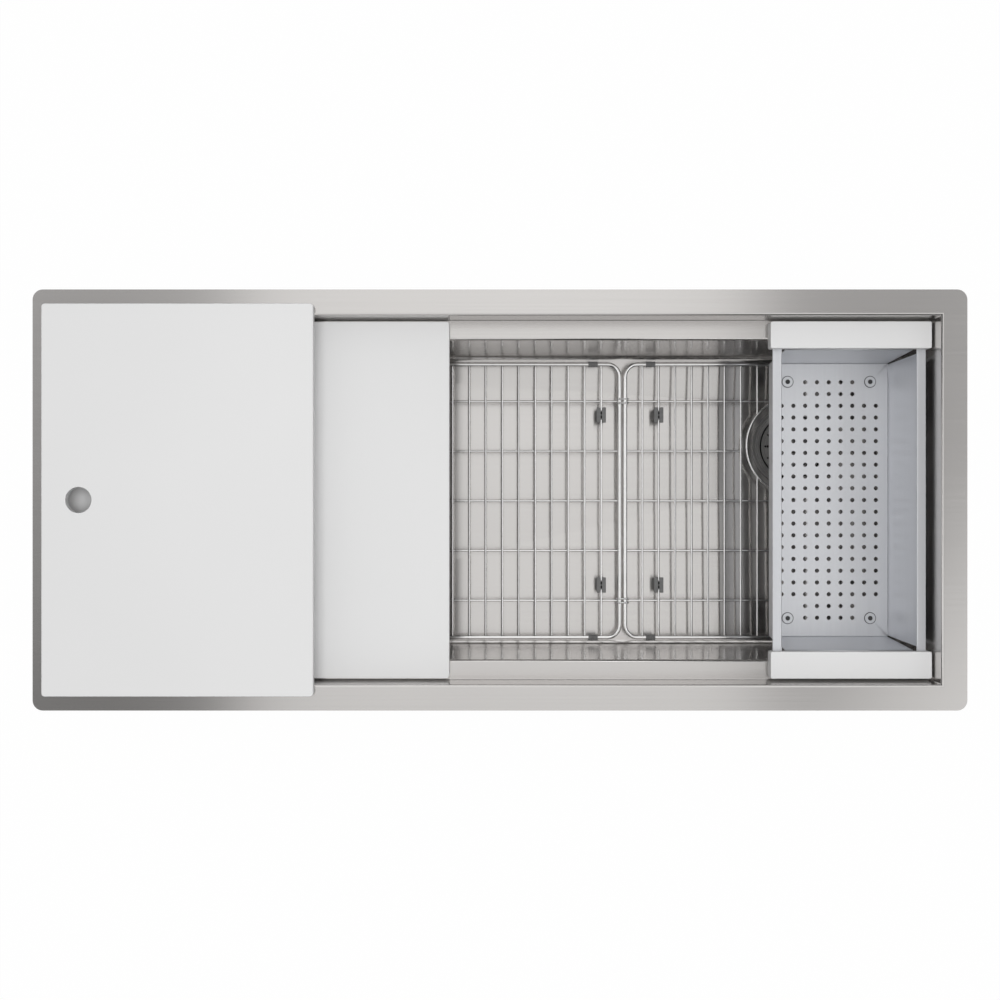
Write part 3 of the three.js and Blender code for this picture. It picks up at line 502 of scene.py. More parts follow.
pad_rubber = rubber("pad_rubber", (0.028, 0.028, 0.03), (0.05, 0.05, 0.052), 0.8, 160, 0.3 * MM)
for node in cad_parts.values():
    if node.name.startswith("sound_pad"):
        node.data.materials.clear()
        node.data.materials.append(pad_rubber)

# ---------------------------------------------------------------------------------------
# Drain. A turned and polished strainer body whose flange sits in the recess on a gasket;
# gasket, slip ring and lugged locknut clamp it from below, and the tailpiece hangs from its
# outlet by a nut.

WELD = 2e-6
TURNED_SIDES = 72
PIPE_SIDES = 48
STEM_SIDES = 24


def turned(bm, profile, centre, steps, is_closed=True):
    """Spins a profile of (radius, height) about an upright axis and closes the skin."""
    verts = [bm.verts.new((centre.x + radius, centre.y, z)) for radius, z in profile]
    pairs = list(zip(verts, verts[1:]))
    if is_closed:
        pairs.append((verts[-1], verts[0]))
    edges = [bm.edges.new(pair) for pair in pairs]
    bmesh.ops.spin(
        bm,
        geom=verts + edges,
        cent=centre,
        axis=(0, 0, 1),
        angle=math.tau,
        steps=steps,
        use_merge=True,
    )


def closed_up(bm):
    """Welds a skin and turns all its faces outwards."""
    bmesh.ops.remove_doubles(bm, verts=bm.verts, dist=WELD)
    bmesh.ops.recalc_face_normals(bm, faces=bm.faces)


def shaded(piece, degrees=32):
    """Shades a piece smoothly between its true edges."""
    for face in piece.data.polygons:
        face.use_smooth = True
    piece.data.set_sharp_from_angle(angle=math.radians(degrees))
    return piece


def turned_piece(name, profile, centre, steps, material, body, nodes):
    """A whole piece that is one turned shape; one that starts on its axis is solid."""
    bm = bmesh.new()
    turned(bm, profile, centre, steps, is_closed=profile[0][0] > 0)
    closed_up(bm)
    return shaded(add_piece(bm, name, material, body, nodes))


def turned_from_node(node, name, centre, foot, head, steps, material, body):
    """A turned piece whose section is drawn in millimetres from its node's foot and head."""
    low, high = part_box(node)
    profile = [(radius * MM, low.z + rise * MM) for radius, rise in foot]
    profile += [(radius * MM, high.z + rise * MM) for radius, rise in head]
    return turned_piece(name, profile, centre, steps, material, body, [node])


def ring_profile(inner, outer, low, high, edge):
    """The section of a flat ring with eased corners."""
    return [
        (inner, low),
        (outer - edge, low),
        (outer, low + edge),
        (outer, high - edge),
        (outer - edge, high),
        (inner, high),
    ]


def ring_from_node(node, name, inner, material, edge=0.3 * MM):
    """A turned ring that takes the outer size and height of its node."""
    low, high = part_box(node)
    profile = ring_profile(inner, (high.x - low.x) / 2, low.z, high.z, edge)
    return turned_piece(name, profile, DRAIN, TURNED_SIDES, material, "root", [node])


def block(bm, size, place, turn):
    """Adds a block, turned about the drain's axis, and returns its edges."""
    matrix = Matrix.Translation(DRAIN) @ Matrix.Rotation(turn, 4, "Z")
    matrix = matrix @ Matrix.Translation(place) @ Matrix.Diagonal((*size, 1))
    return edges_at(bmesh.ops.create_cube(bm, size=1, matrix=matrix)["verts"])


def is_sharp(edge, degrees=50):
    """Tells whether the faces beside an edge meet at more than an angle."""
    return edge.calc_face_angle(0) > math.radians(degrees)


drain_steel, tree, shader = finish_material("drain_steel", (0.64, 0.63, 0.62), 0.18, 1.0)
where = link_node(tree, "ShaderNodeTexCoord")
centred = link_node(
    tree,
    "ShaderNodeMapping",
    {0: where.outputs["Object"], 1: (-DRAIN.x, -DRAIN.y, 0), 3: (1, 1, 0)},
)
from_axis = link_node(tree, "ShaderNodeVectorMath", {0: centred.outputs[0]}, operation="LENGTH")
lathe_rings = link_node(
    tree,
    "ShaderNodeTexNoise",
    {"W": from_axis.outputs["Value"], "Scale": 1400.0, "Detail": 3.0},
    noise_dimensions="1D",
).outputs[0]
tint(tree, shader, lathe_rings, (0.5, 0.49, 0.48), (0.64, 0.63, 0.62))
wear(tree, shader, lathe_rings, 0.18, 0.3)
relief(tree, shader, lathe_rings, 0.03 * MM)

body_low, body_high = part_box("drain_body")
FLANGE_RADIUS = 57.15 * MM
THREAD_RADIUS = 45.8 * MM
THROAT_RADIUS = 44.6 * MM
OUTLET_RADIUS = 20.5 * MM
OUTLET_BORE = 17.5 * MM
FLANGE_TOP = body_high.z
FLANGE_LOW = FLANGE_TOP - 1.6 * MM
CONE_TOP = FLANGE_TOP - 51 * MM
CONE_FOOT = CONE_TOP - 11 * MM
body_profile = [
    (FLANGE_RADIUS, FLANGE_LOW),
    (FLANGE_RADIUS, FLANGE_TOP - 0.3 * MM),
    (FLANGE_RADIUS - 0.3 * MM, FLANGE_TOP),
    (THROAT_RADIUS + 1.6 * MM, FLANGE_TOP),
    (THROAT_RADIUS + 1.1 * MM, FLANGE_TOP - 0.3 * MM),
    (THROAT_RADIUS + 0.6 * MM, FLANGE_TOP - 1.4 * MM),
    (THROAT_RADIUS, FLANGE_TOP - 4 * MM),
    (THROAT_RADIUS, CONE_TOP),
    (THROAT_RADIUS - 1.5 * MM, CONE_TOP - 4 * MM),
    (38 * MM, CONE_TOP - 7.7 * MM),
    (OUTLET_RADIUS, CONE_FOOT),
    (OUTLET_BORE, CONE_FOOT - 1.5 * MM),
    (OUTLET_BORE, body_low.z),
    (OUTLET_RADIUS, body_low.z),
    (OUTLET_RADIUS, CONE_FOOT - 3 * MM),
    (39.2 * MM, CONE_TOP - 9.7 * MM),
    (THREAD_RADIUS - 1.2 * MM, CONE_TOP - 5 * MM),
    (THREAD_RADIUS, CONE_TOP - 1 * MM),
]
THREAD_TURNS = 9
THREAD_PITCH = 2.2 * MM
THREAD_DEPTH = 0.6 * MM
thread_foot = CONE_TOP + 8 * MM
for turn_number in range(THREAD_TURNS):
    low = thread_foot + turn_number * THREAD_PITCH
    body_profile += [
        (THREAD_RADIUS, low),
        (THREAD_RADIUS - THREAD_DEPTH, low + 0.4 * THREAD_PITCH),
        (THREAD_RADIUS - THREAD_DEPTH, low + 0.6 * THREAD_PITCH),
    ]
body_profile += [
    (THREAD_RADIUS, thread_foot + THREAD_TURNS * THREAD_PITCH),
    (THREAD_RADIUS, FLANGE_LOW),
]
strainer = bmesh.new()
turned(strainer, body_profile, DRAIN, TURNED_SIDES)
closed_up(strainer)
SPIDER_ARM = (37 * MM, 2.8 * MM, 4 * MM)
SPIDER_DROP = 6 * MM
for arm_turn in (0, math.pi / 2):
    block(strainer, SPIDER_ARM, (0, 0, CONE_FOOT - SPIDER_DROP), arm_turn)
shaded(add_piece(strainer, "strainer_body", drain_steel, "root", ["drain_body"]))

seal_rubber = rubber("seal_rubber", (0.018,) * 3, (0.035,) * 3, 0.7, 220, 0.1 * MM)
card, tree, shader = finish_material("slip_card", (0.42, 0.31, 0.19), 0.9, 0.0)
fibres = grain(tree, (1, 1, 6), 260, 6.0)
tint(tree, shader, fibres, (0.34, 0.25, 0.15), (0.5, 0.38, 0.25))
relief(tree, shader, fibres, 0.1 * MM)

CLAMP_BORE = THREAD_RADIUS + 0.3 * MM
for node, name, material, slot, edge in (
    ("drain_top_gasket", "top_gasket", seal_rubber, "seal_rubber", 0.3 * MM),
    ("drain_under_gasket", "under_gasket", seal_rubber, "seal_rubber", 0.8 * MM),
    ("drain_friction_ring", "slip_ring", card, "fibre_ring", 0.1 * MM),
):
    ring_from_node(node, name, CLAMP_BORE, material, edge)

LOCKNUT_RADIUS = 53 * MM
LOCKNUT_LUGS = 8
nut_low, nut_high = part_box("drain_locknut")
locknut = bmesh.new()
turned(
    locknut,
    ring_profile(CLAMP_BORE, LOCKNUT_RADIUS, nut_low.z, nut_high.z, 0.8 * MM),
    DRAIN,
    TURNED_SIDES,
)
closed_up(locknut)
LUG_SIZE = (6 * MM, 6.6 * MM, nut_high.z - nut_low.z)
LUG_PLACE = (54 * MM, 0, (nut_low.z + nut_high.z) / 2)
for lug_number in range(LOCKNUT_LUGS):
    lug_angle = (lug_number + 0.5) / LOCKNUT_LUGS * math.tau
    rounded(locknut, block(locknut, LUG_SIZE, LUG_PLACE, lug_angle), 0.7 * MM, 2)
shaded(add_piece(locknut, "locknut", drain_steel, "root", ["drain_locknut"]))

ring_from_node("tailpiece_washer", "outlet_washer", 17.9 * MM, seal_rubber)
turned_from_node(
    "tailpiece",
    "tail_pipe",
    DRAIN,
    [(17.85, 0), (18.75, 0), (19.05, 0.5)],
    [(19.05, -1.6), (20.5, -1.6), (20.5, 0), (17.85, 0)],
    PIPE_SIDES,
    drain_steel,
    "root",
)
slip_nut = bmesh.new()
slip_nut.from_mesh(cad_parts["tailpiece_nut"].data)
bmesh.ops.remove_doubles(slip_nut, verts=slip_nut.verts, dist=WELD)
bmesh.ops.dissolve_limit(
    slip_nut,
    angle_limit=math.radians(1),
    verts=slip_nut.verts,
    edges=slip_nut.edges,
    use_dissolve_boundaries=False,
)
rounded(slip_nut, [edge for edge in slip_nut.edges if is_sharp(edge, 30)], 0.6 * MM, 2)
add_piece(slip_nut, "slip_nut", drain_steel, "root", ["tailpiece_nut"])

# ---------------------------------------------------------------------------------------
# Strainer basket. A pressed cup with a ring of slots under its lip, closed by a domed cap
# with a pull knob; a post and a rubber seal under it plug the drain.

BASKET_SLOTS = 14
BASKET_RIM = 43.8 * MM
SHOULDER = 31.3 * MM
CUP_SHEET = 0.8 * MM
SECTOR_STEPS = 6
SLOT_STEPS = 6
SLOT_HALF_LENGTH = 2 * MM
SLOT_RADIUS = 1.4 * MM
SLOT_CIRCLE = 35.7 * MM
cup_low, cup_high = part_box("basket_cup")
CUP_TOP = cup_high.z
CUP_BOTTOM = cup_low.z + CUP_SHEET


def looped(bm, verts):
    """Joins corners in turn by a closed loop of edges."""
    return [bm.edges.new(pair) for pair in zip(verts, verts[1:] + verts[:1])]


sector = bmesh.new()
sector_angle = math.tau / BASKET_SLOTS
outline = []
for radius, turn_way in ((BASKET_RIM, 1), (SHOULDER, -1)):
    for step_number in range(SECTOR_STEPS + 1):
        angle = turn_way * (step_number / SECTOR_STEPS - 0.5) * sector_angle
        outline.append(sector.verts.new((radius * math.cos(angle), radius * math.sin(angle), 0)))
slot_shape = []
for end, end_turn in ((1, 0), (-1, math.pi)):
    for step_number in range(SLOT_STEPS + 1):
        angle = (step_number / SLOT_STEPS - 0.5) * math.pi + end_turn
        x = SLOT_CIRCLE + end * SLOT_HALF_LENGTH + SLOT_RADIUS * math.cos(angle)
        slot_shape.append(sector.verts.new((x, SLOT_RADIUS * math.sin(angle), 0)))
sector_edges = looped(sector, outline) + looped(sector, slot_shape)
bmesh.ops.triangle_fill(sector, use_beauty=True, edges=sector_edges)
cleared(sector, set(slot_shape))
bmesh.ops.spin(
    sector,
    geom=sector.verts[:] + sector.edges[:] + sector.faces[:],
    cent=(0, 0, 0),
    axis=(0, 0, 1),
    angle=math.tau - sector_angle,
    steps=BASKET_SLOTS - 1,
    use_duplicate=True,
)
bmesh.ops.remove_doubles(sector, verts=sector.verts, dist=1e-5)
bmesh.ops.translate(sector, vec=DRAIN + Vector((0, 0, CUP_TOP)), verts=sector.verts)
cup_profile = [
    (SHOULDER, CUP_TOP),
    (31.1 * MM, CUP_TOP - 4 * MM),
    (29 * MM, CUP_BOTTOM + 4 * MM),
    (28 * MM, CUP_BOTTOM + 1.4 * MM),
    (25.5 * MM, CUP_BOTTOM),
    (2.6 * MM, CUP_BOTTOM),
]
turned(sector, cup_profile, DRAIN, BASKET_SLOTS * SECTOR_STEPS, is_closed=False)
closed_up(sector)
facing_up(sector)
cup = add_piece(sector, "basket_shell", drain_steel, "basket", ["basket_cup"])
for face in shaded(cup).data.polygons:
    face.use_smooth = abs(face.normal.z) < 0.99
add_gauge(cup, CUP_SHEET, is_even=False)

cap_foot = [(0, 0), (30.2, 0), (31, 0.5), (30.4, 1.2), (20, 1.7), (9, 2), (7, 2.6), (6, 4.2)]
cap_neck = [(6.4, 6.7)]
cap_head = [(7.6, -5), (10, -3.4), (10, -2), (8.4, -0.6), (5, -0.1), (0, 0)]
turned_from_node(
    "basket_cap",
    "basket_lid",
    DRAIN,
    cap_foot + cap_neck,
    cap_head,
    TURNED_SIDES,
    drain_steel,
    "basket",
)
turned_from_node(
    "basket_post",
    "basket_stem",
    DRAIN,
    [(0, 0), (1.5, 0), (2.3, 1)],
    [(2.3, 0), (0, 0)],
    STEM_SIDES,
    drain_steel,
    "basket",
)
turned_from_node(
    "basket_seal",
    "basket_plug",
    DRAIN,
    [(28, 2), (20.5, 0), (2.6, 0)],
    [(2.6, 0), (27.4, 0), (28, -0.6)],
    TURNED_SIDES,
    seal_rubber,
    "basket",
)

# ---------------------------------------------------------------------------------------
# Bottom grid. Two mats of polished stainless wire: a heavy frame wire bent round each half,
# thin long wires welded under it, cross wires under those, and a ring round the drain.

WIRE_SIDES = 14
FRAME_SIDES = 16
FRAME_WIRE = 2.8 * MM
LONG_WIRE = 1.5 * MM
RING_WIRE = 1.8 * MM
RING_RADIUS = 69.4 * MM
FRAME_CORNER = 17 * MM
GRID_Z = -228 * MM
LONG_Z = GRID_Z - 1 * MM
CROSS_Z = LONG_Z - 2.8 * MM
GRID_FRONT = -192.25 * MM
GRID_REAR = 189.85 * MM
GRID_END = 533.7 * MM
SPLIT_LEFT = 167.4 * MM
SPLIT_RIGHT = 175.3 * MM
CROSS_ROWS = [(-1.2 + 69.8 * row) * MM for row in range(-2, 3)]
GRID_HALVES = {
    "left": (-GRID_END, SPLIT_LEFT, [(141.8 - 23.15 * i) * MM for i in range(29)]),
    "right": (SPLIT_RIGHT, GRID_END, [(199.2 + 23.04 * i) * MM for i in range(15)]),
}


def straight_wire(bm, start, end, radius, sides=WIRE_SIDES, has_ends=True):
    """Draws a round wire between two points."""
    start, end = Vector(start), Vector(end)
    turn = Vector((0, 0, 1)).rotation_difference(end - start).to_matrix().to_4x4()
    bmesh.ops.create_cone(
        bm,
        cap_ends=has_ends,
        segments=sides,
        radius1=radius,
        radius2=radius,
        depth=(end - start).length,
        matrix=Matrix.Translation((start + end) / 2) @ turn,
    )


def bent_wire(bm, start, centre, axis, angle, radius, sides=WIRE_SIDES, steps=10):
    """Bends a round wire from a point about an axis through a centre."""
    start, centre, axis = Vector(start), Vector(centre), Vector(axis)
    heading = axis.cross(start - centre)
    turn = Vector((0, 0, 1)).rotation_difference(heading).to_matrix().to_4x4()
    section, edges = circle(bm, start, radius, sides, turn)
    bmesh.ops.spin(
        bm,
        geom=section + edges,
        cent=centre,
        axis=axis,
        angle=angle,
        steps=steps,
        use_merge=angle == math.tau,
    )


def frame_wire(bm, x0, x1, y0, y1):
    """Bends one closed frame: a straight run and a corner on each of its four sides."""
    corners = [Vector((x, y, GRID_Z)) for x, y in ((x0, y0), (x1, y0), (x1, y1), (x0, y1))]
    for corner, next_corner in zip(corners, corners[1:] + corners[:1]):
        way = (next_corner - corner).normalized() * FRAME_CORNER
        start, end = corner + way, next_corner - way
        centre = end + Vector((-way.y, way.x, 0))
        straight_wire(bm, start, end, FRAME_WIRE, FRAME_SIDES, False)
        bent_wire(bm, end, centre, (0, 0, 1), math.pi / 2, FRAME_WIRE, FRAME_SIDES)


def half_chord(offset):
    """Half of the drain ring's chord at an offset from its middle."""
    return math.sqrt(RING_RADIUS**2 - offset**2)


wire_steel, tree, shader = finish_material("wire_steel", (0.9, 0.895, 0.89), 0.12, 1.0)
draw_marks = grain(tree, (60, 4, 60), 6.0, 3.0)
tint(tree, shader, draw_marks, (0.86, 0.855, 0.85), (0.93, 0.925, 0.92))
wear(tree, shader, draw_marks, 0.08, 0.2)

for half, (x0, x1, places) in GRID_HALVES.items():
    mat = bmesh.new()
    frame_wire(mat, x0, x1, GRID_FRONT, GRID_REAR)
    has_ring = x0 < DRAIN.x < x1
    for x in places:
        runs = [(GRID_FRONT, GRID_REAR)]
        if has_ring and abs(x - DRAIN.x) < RING_RADIUS:
            chord = half_chord(x - DRAIN.x)
            runs = [(GRID_FRONT, DRAIN.y - chord), (DRAIN.y + chord, GRID_REAR)]
        for start, stop in runs:
            straight_wire(mat, (x, start, LONG_Z), (x, stop, LONG_Z), LONG_WIRE)
    for y in CROSS_ROWS:
        runs = [(x0, x1)]
        offset = abs(y - DRAIN.y)
        if has_ring and offset < RING_RADIUS / 2:
            stop = max(x for x in places if x < DRAIN.x - RING_RADIUS) + LONG_WIRE
            start = min(x for x in places if x > DRAIN.x + RING_RADIUS) - LONG_WIRE
            runs = [(x0, stop), (start, x1)]
        elif has_ring and offset < RING_RADIUS:
            chord = half_chord(offset)
            runs = [(x0, DRAIN.x - chord), (DRAIN.x + chord, x1)]
        for start, stop in runs:
            straight_wire(mat, (start, y, CROSS_Z), (stop, y, CROSS_Z), LONG_WIRE)
    if has_ring:
        ring_centre = (DRAIN.x, DRAIN.y, LONG_Z)
        ring_start = (DRAIN.x + RING_RADIUS, DRAIN.y, LONG_Z)
        bent_wire(mat, ring_start, ring_centre, (0, 0, 1), math.tau, RING_WIRE, steps=80)
    closed_up(mat)
    node = f"grid_{half}_wires"
    shaded(add_piece(mat, f"grid_{half}_mat", wire_steel, f"grid_{half}", [node]), 40)

# ---------------------------------------------------------------------------------------
# Grid links. Closed oval rings of thin wire, two close together at the front and two at the
# rear, that hold the inner frame wires of the halves side by side and let each half fold up.

LINK_WIRE = 1.2 * MM
LINK_SIDES = 12
LINK_BEND = 4.4 * MM
LINK_OFFSET = 2.8 * MM
link_rows = [row + side * LINK_OFFSET for row in CROSS_ROWS[::4] for side in (-1, 1)]
for number, y in enumerate(link_rows, 1):
    oval = bmesh.new()
    for z in (GRID_Z - LINK_BEND, GRID_Z + LINK_BEND):
        straight_wire(oval, (SPLIT_LEFT, y, z), (SPLIT_RIGHT, y, z), LINK_WIRE, LINK_SIDES, False)
    for x, side in ((SPLIT_RIGHT, 1), (SPLIT_LEFT, -1)):
        start = (x, y, GRID_Z + side * LINK_BEND)
        bent_wire(oval, start, (x, y, GRID_Z), (0, 1, 0), math.pi, LINK_WIRE, LINK_SIDES)
    closed_up(oval)
    node = f"grid_link_{number}"
    shaded(add_piece(oval, f"link_{number}", wire_steel, "root", [node]), 40)

# ---------------------------------------------------------------------------------------
# Grid feet and bumpers. Moulded grey rubber: feet snapped over the long wires, notched at
# both ends so that the wire shows, and ribbed sleeves round the frame wire.

grid_rubber = rubber("grid_rubber", (0.15,) * 3, (0.195, 0.195, 0.193), 0.6, 320, 0.1 * MM)
pit_shadow = rubber("slot_shadow", (0.004,) * 3, (0.008,) * 3, 0.9, 320, 0.1 * MM)
NOTCH_DEPTH = 4.6 * MM
NOTCH_WIDE = 1.9 * MM
NOTCH_NARROW = 0.9 * MM
PIT_OFFSET = 2.7 * MM
PIT_DEPTH = 0.8 * MM
PIT_SIDES = 8
PIT_SHAPE = Matrix.Diagonal((1.2, 2.5, 1, 1))
SOLE_HALF = 4 * MM
SOLE_DRAW = 2.4 * MM
SOLE_SHARE = 0.7
PAD_EDGE = 0.4 * MM


def grid_body(node):
    """The half of the grid that carries a foot or a sleeve."""
    return "grid_left" if "left" in node else "grid_right"


for node in [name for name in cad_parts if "grid" in name and "foot" in name]:
    low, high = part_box(node)
    centre = (low + high) / 2
    half_width = high.x - centre.x
    foot = bmesh.new()
    plan = []
    for side, end_y in ((-1, low.y), (1, high.y)):
        plan += [
            (centre.x + side * half_width, end_y),
            (centre.x + side * NOTCH_WIDE, end_y),
            (centre.x + side * NOTCH_NARROW, end_y - side * NOTCH_DEPTH),
            (centre.x - side * NOTCH_NARROW, end_y - side * NOTCH_DEPTH),
            (centre.x - side * NOTCH_WIDE, end_y),
            (centre.x - side * half_width, end_y),
            (centre.x - side * half_width, centre.y + side * SOLE_HALF),
            (centre.x - side * half_width, centre.y - side * SOLE_HALF),
        ]
    plan_edges = looped(foot, [foot.verts.new((x, y, low.z)) for x, y in plan])
    pits = []
    for side in (-1, 1):
        pit_place = (centre.x, centre.y + side * PIT_OFFSET, low.z)
        pit, pit_edges = circle(foot, pit_place, MM, PIT_SIDES, PIT_SHAPE)
        plan_edges += pit_edges
        pits.append(pit)
    bmesh.ops.triangle_fill(foot, use_beauty=True, edges=plan_edges)
    for pit in pits:
        cleared(foot, pit)
    for pit in pits:
        foot.faces.new(pit)
    made = raised(foot, foot.faces[:], (0, 0, high.z - low.z))
    pit_tops = [face for face in only(made, BMFace) if len(face.verts) == PIT_SIDES]
    rim_edges = [
        edge
        for edge in foot.edges
        if is_sharp(edge) and not any(face in pit_tops for face in edge.link_faces)
    ]
    for face in pushed(foot, pit_tops, (0, 0, -PIT_DEPTH)):
        face.material_index = 1
    for vert in foot.verts:
        reach = vert.co - centre
        if vert.co.z < centre.z and abs(reach.y) > SOLE_HALF + NOTCH_DEPTH:
            is_corner = abs(reach.x) > NOTCH_WIDE + MM
            vert.co.y -= math.copysign(SOLE_DRAW if is_corner else SOLE_DRAW / 2, reach.y)
            vert.co.x = centre.x + reach.x * (SOLE_SHARE if is_corner else 1)
    bmesh.ops.recalc_face_normals(foot, faces=foot.faces)
    rounded(foot, rim_edges, PAD_EDGE, 2)
    name = node.replace("foot", "pad")
    pad = add_piece(foot, name, grid_rubber, grid_body(node), [node])
    pad.data.materials.append(pit_shadow)

SLEEVE_BORE = 3 * MM
SLEEVE_EDGE = 0.4 * MM
SLEEVE_SIDES = 24
GROOVES = (-0.26, 0.0, 0.26)
GROOVE_TOP = 0.09
GROOVE_FOOT = 0.06
GROOVE_DEPTH = 0.7 * MM
for node in [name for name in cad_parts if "bumper" in name]:
    low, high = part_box(node)
    outer = (high.z - low.z) / 2
    length = high.x - low.x
    profile = [
        (SLEEVE_BORE, -length / 2),
        (outer - SLEEVE_EDGE, -length / 2),
        (outer, SLEEVE_EDGE - length / 2),
    ]
    for groove in GROOVES:
        profile += [
            (outer, (groove - GROOVE_TOP) * length),
            (outer - GROOVE_DEPTH, (groove - GROOVE_FOOT) * length),
            (outer - GROOVE_DEPTH, (groove + GROOVE_FOOT) * length),
            (outer, (groove + GROOVE_TOP) * length),
        ]
    profile += [
        (outer, length / 2 - SLEEVE_EDGE),
        (outer - SLEEVE_EDGE, length / 2),
        (SLEEVE_BORE, length / 2),
    ]
    sleeve = bmesh.new()
    turned(sleeve, profile, Vector(), SLEEVE_SIDES)
    lengthways = Matrix.Rotation(math.pi / 2, 3, "Y")
    bmesh.ops.rotate(sleeve, cent=(0, 0, 0), matrix=lengthways, verts=sleeve.verts)
    bmesh.ops.translate(sleeve, vec=(low + high) / 2, verts=sleeve.verts)
    closed_up(sleeve)
    name = node.replace("bumper", "sleeve")
    shaded(add_piece(sleeve, name, grid_rubber, grid_body(node), [node]))

# ---------------------------------------------------------------------------------------
# Colander tray. Satin stainless sheet, 1.2 mm, punched with round holes and folded up on
# four sides with open corners; its flanges hang from the two handles.

tray_steel, tree, shader = brushed_steel(
    "tray_steel",
    dark=(0.66, 0.67, 0.695),
    light=(0.7, 0.71, 0.735),
    rough_low=0.33,
    rough_high=0.4,
    stretch=(300, 3, 300),
    depth=0.006 * MM,
)
shader.inputs["Metallic"].default_value = 0.85
tray_low, tray_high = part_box("colander_tray")
TRAY_SHEET = 1.2 * MM
TRAY_X = (tray_low.x + tray_high.x) / 2
TRAY_TOP = tray_high.z
TRAY_FLOOR = tray_low.z + TRAY_SHEET
TOP_HALF_X = 85.4 * MM
TOP_HALF_Y = 190 * MM
FLOOR_HALF_X = 79.5 * MM
FLOOR_HALF_Y = 183.6 * MM
CORNER_GAP = 1.2 * MM
TOP_CORNER_GAP = 4.6 * MM
HOLE_PITCH = 15.85 * MM
HOLE_RADIUS = 2.9 * MM
STEM_HOLE = 2.7 * MM
HOLE_SIDES = 14
HOLE_ROWS = range(-10, 11)
HOLE_REACH = 4
END_REACH = 2
LAST_FULL_ROW = 8
FOLD_RADIUS = 1.3 * MM
flange_x = (tray_high.x - tray_low.x) / 2
flange_y = (tray_high.y - tray_low.y) / 2

tray = bmesh.new()
floor_plan = []
for sign_x, sign_y in ((1, -1), (1, 1), (-1, 1), (-1, -1)):
    near_wall = (TRAY_X + sign_x * FLOOR_HALF_X, sign_y * (FLOOR_HALF_Y - CORNER_GAP))
    near_end = (TRAY_X + sign_x * (FLOOR_HALF_X - CORNER_GAP), sign_y * FLOOR_HALF_Y)
    floor_plan += [near_end, near_wall] if sign_x * sign_y < 0 else [near_wall, near_end]
plan_edges = looped(tray, [tray.verts.new((x, y, TRAY_FLOOR)) for x, y in floor_plan])
hole_edges = []
for row in HOLE_ROWS:
    reach = END_REACH if abs(row) > LAST_FULL_ROW else HOLE_REACH
    for column in range(-reach, reach + 1):
        place = (TRAY_X + column * HOLE_PITCH, row * HOLE_PITCH, TRAY_FLOOR)
        hole_edges += circle(tray, place, HOLE_RADIUS, HOLE_SIDES)[1]
for node in [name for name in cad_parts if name.startswith("foot_washer")]:
    low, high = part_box(node)
    place = ((low.x + high.x) / 2, (low.y + high.y) / 2, TRAY_FLOOR)
    hole_edges += circle(tray, place, STEM_HOLE, HOLE_SIDES)[1]
bmesh.ops.triangle_fill(tray, use_beauty=True, edges=plan_edges + hole_edges)
fold_edges = []
for edge in plan_edges:
    is_side = along(edge, 1)
    if not (is_side or along(edge, 0)):
        continue
    axis = 0 if is_side else 1
    middle = sum((vert.co for vert in edge.verts), Vector()) / 2
    sign = math.copysign(1, middle[axis] - (TRAY_X if is_side else 0))
    wall = bmesh.ops.extrude_edge_only(tray, edges=[edge])["geom"]
    for vert in only(wall, BMVert):
        vert.co.z = TRAY_TOP
        far_x = math.copysign(1, vert.co.x - TRAY_X)
        far_y = math.copysign(1, vert.co.y)
        vert.co.x = TRAY_X + far_x * (TOP_HALF_X - (0 if is_side else TOP_CORNER_GAP))
        vert.co.y = far_y * (TOP_HALF_Y - (TOP_CORNER_GAP if is_side else 0))
    top_edge = [
        item
        for item in only(wall, BMEdge)
        if all(vert.co.z > TRAY_TOP - TINY for vert in item.verts)
    ]
    fold_edges += [edge, *top_edge]
    lip = bmesh.ops.extrude_edge_only(tray, edges=top_edge)["geom"]
    for vert in only(lip, BMVert):
        if is_side:
            vert.co.x = TRAY_X + sign * flange_x
        else:
            vert.co.y = sign * flange_y
    if is_side:
        lip_ends = [end for face in only(lip, BMFace) for end in face.edges if along(end, 0)]
        tongues = bmesh.ops.extrude_edge_only(tray, edges=lip_ends)["geom"]
        for vert in only(tongues, BMVert):
            vert.co.y = math.copysign(flange_y, vert.co.y)
facing_up(tray)
rounded(tray, fold_edges, FOLD_RADIUS, 3)
colander = add_piece(tray, "tray", tray_steel, "colander", ["colander_tray"])
add_gauge(colander, TRAY_SHEET)

# ---------------------------------------------------------------------------------------
# Colander handles. Bars of white moulded polymer that ride on the ledges, rebated below to
# take the tray's flange. Their tops are bare.


def polymer(name, dark, light, roughness, scale, distance):
    """Moulded white polymer: even colour, a fine matt pebble and a soft sheen."""
    material, tree, shader = finish_material(name, light, roughness, 0.0)
    pebble = grain(tree, (1, 1, 1), scale, 3.0)
    tint(tree, shader, grain(tree, (1, 1, 1), 3.0, 2.0), dark, light)
    wear(tree, shader, pebble, roughness - 0.05, roughness + 0.05)
    relief(tree, shader, pebble, distance)
    return material


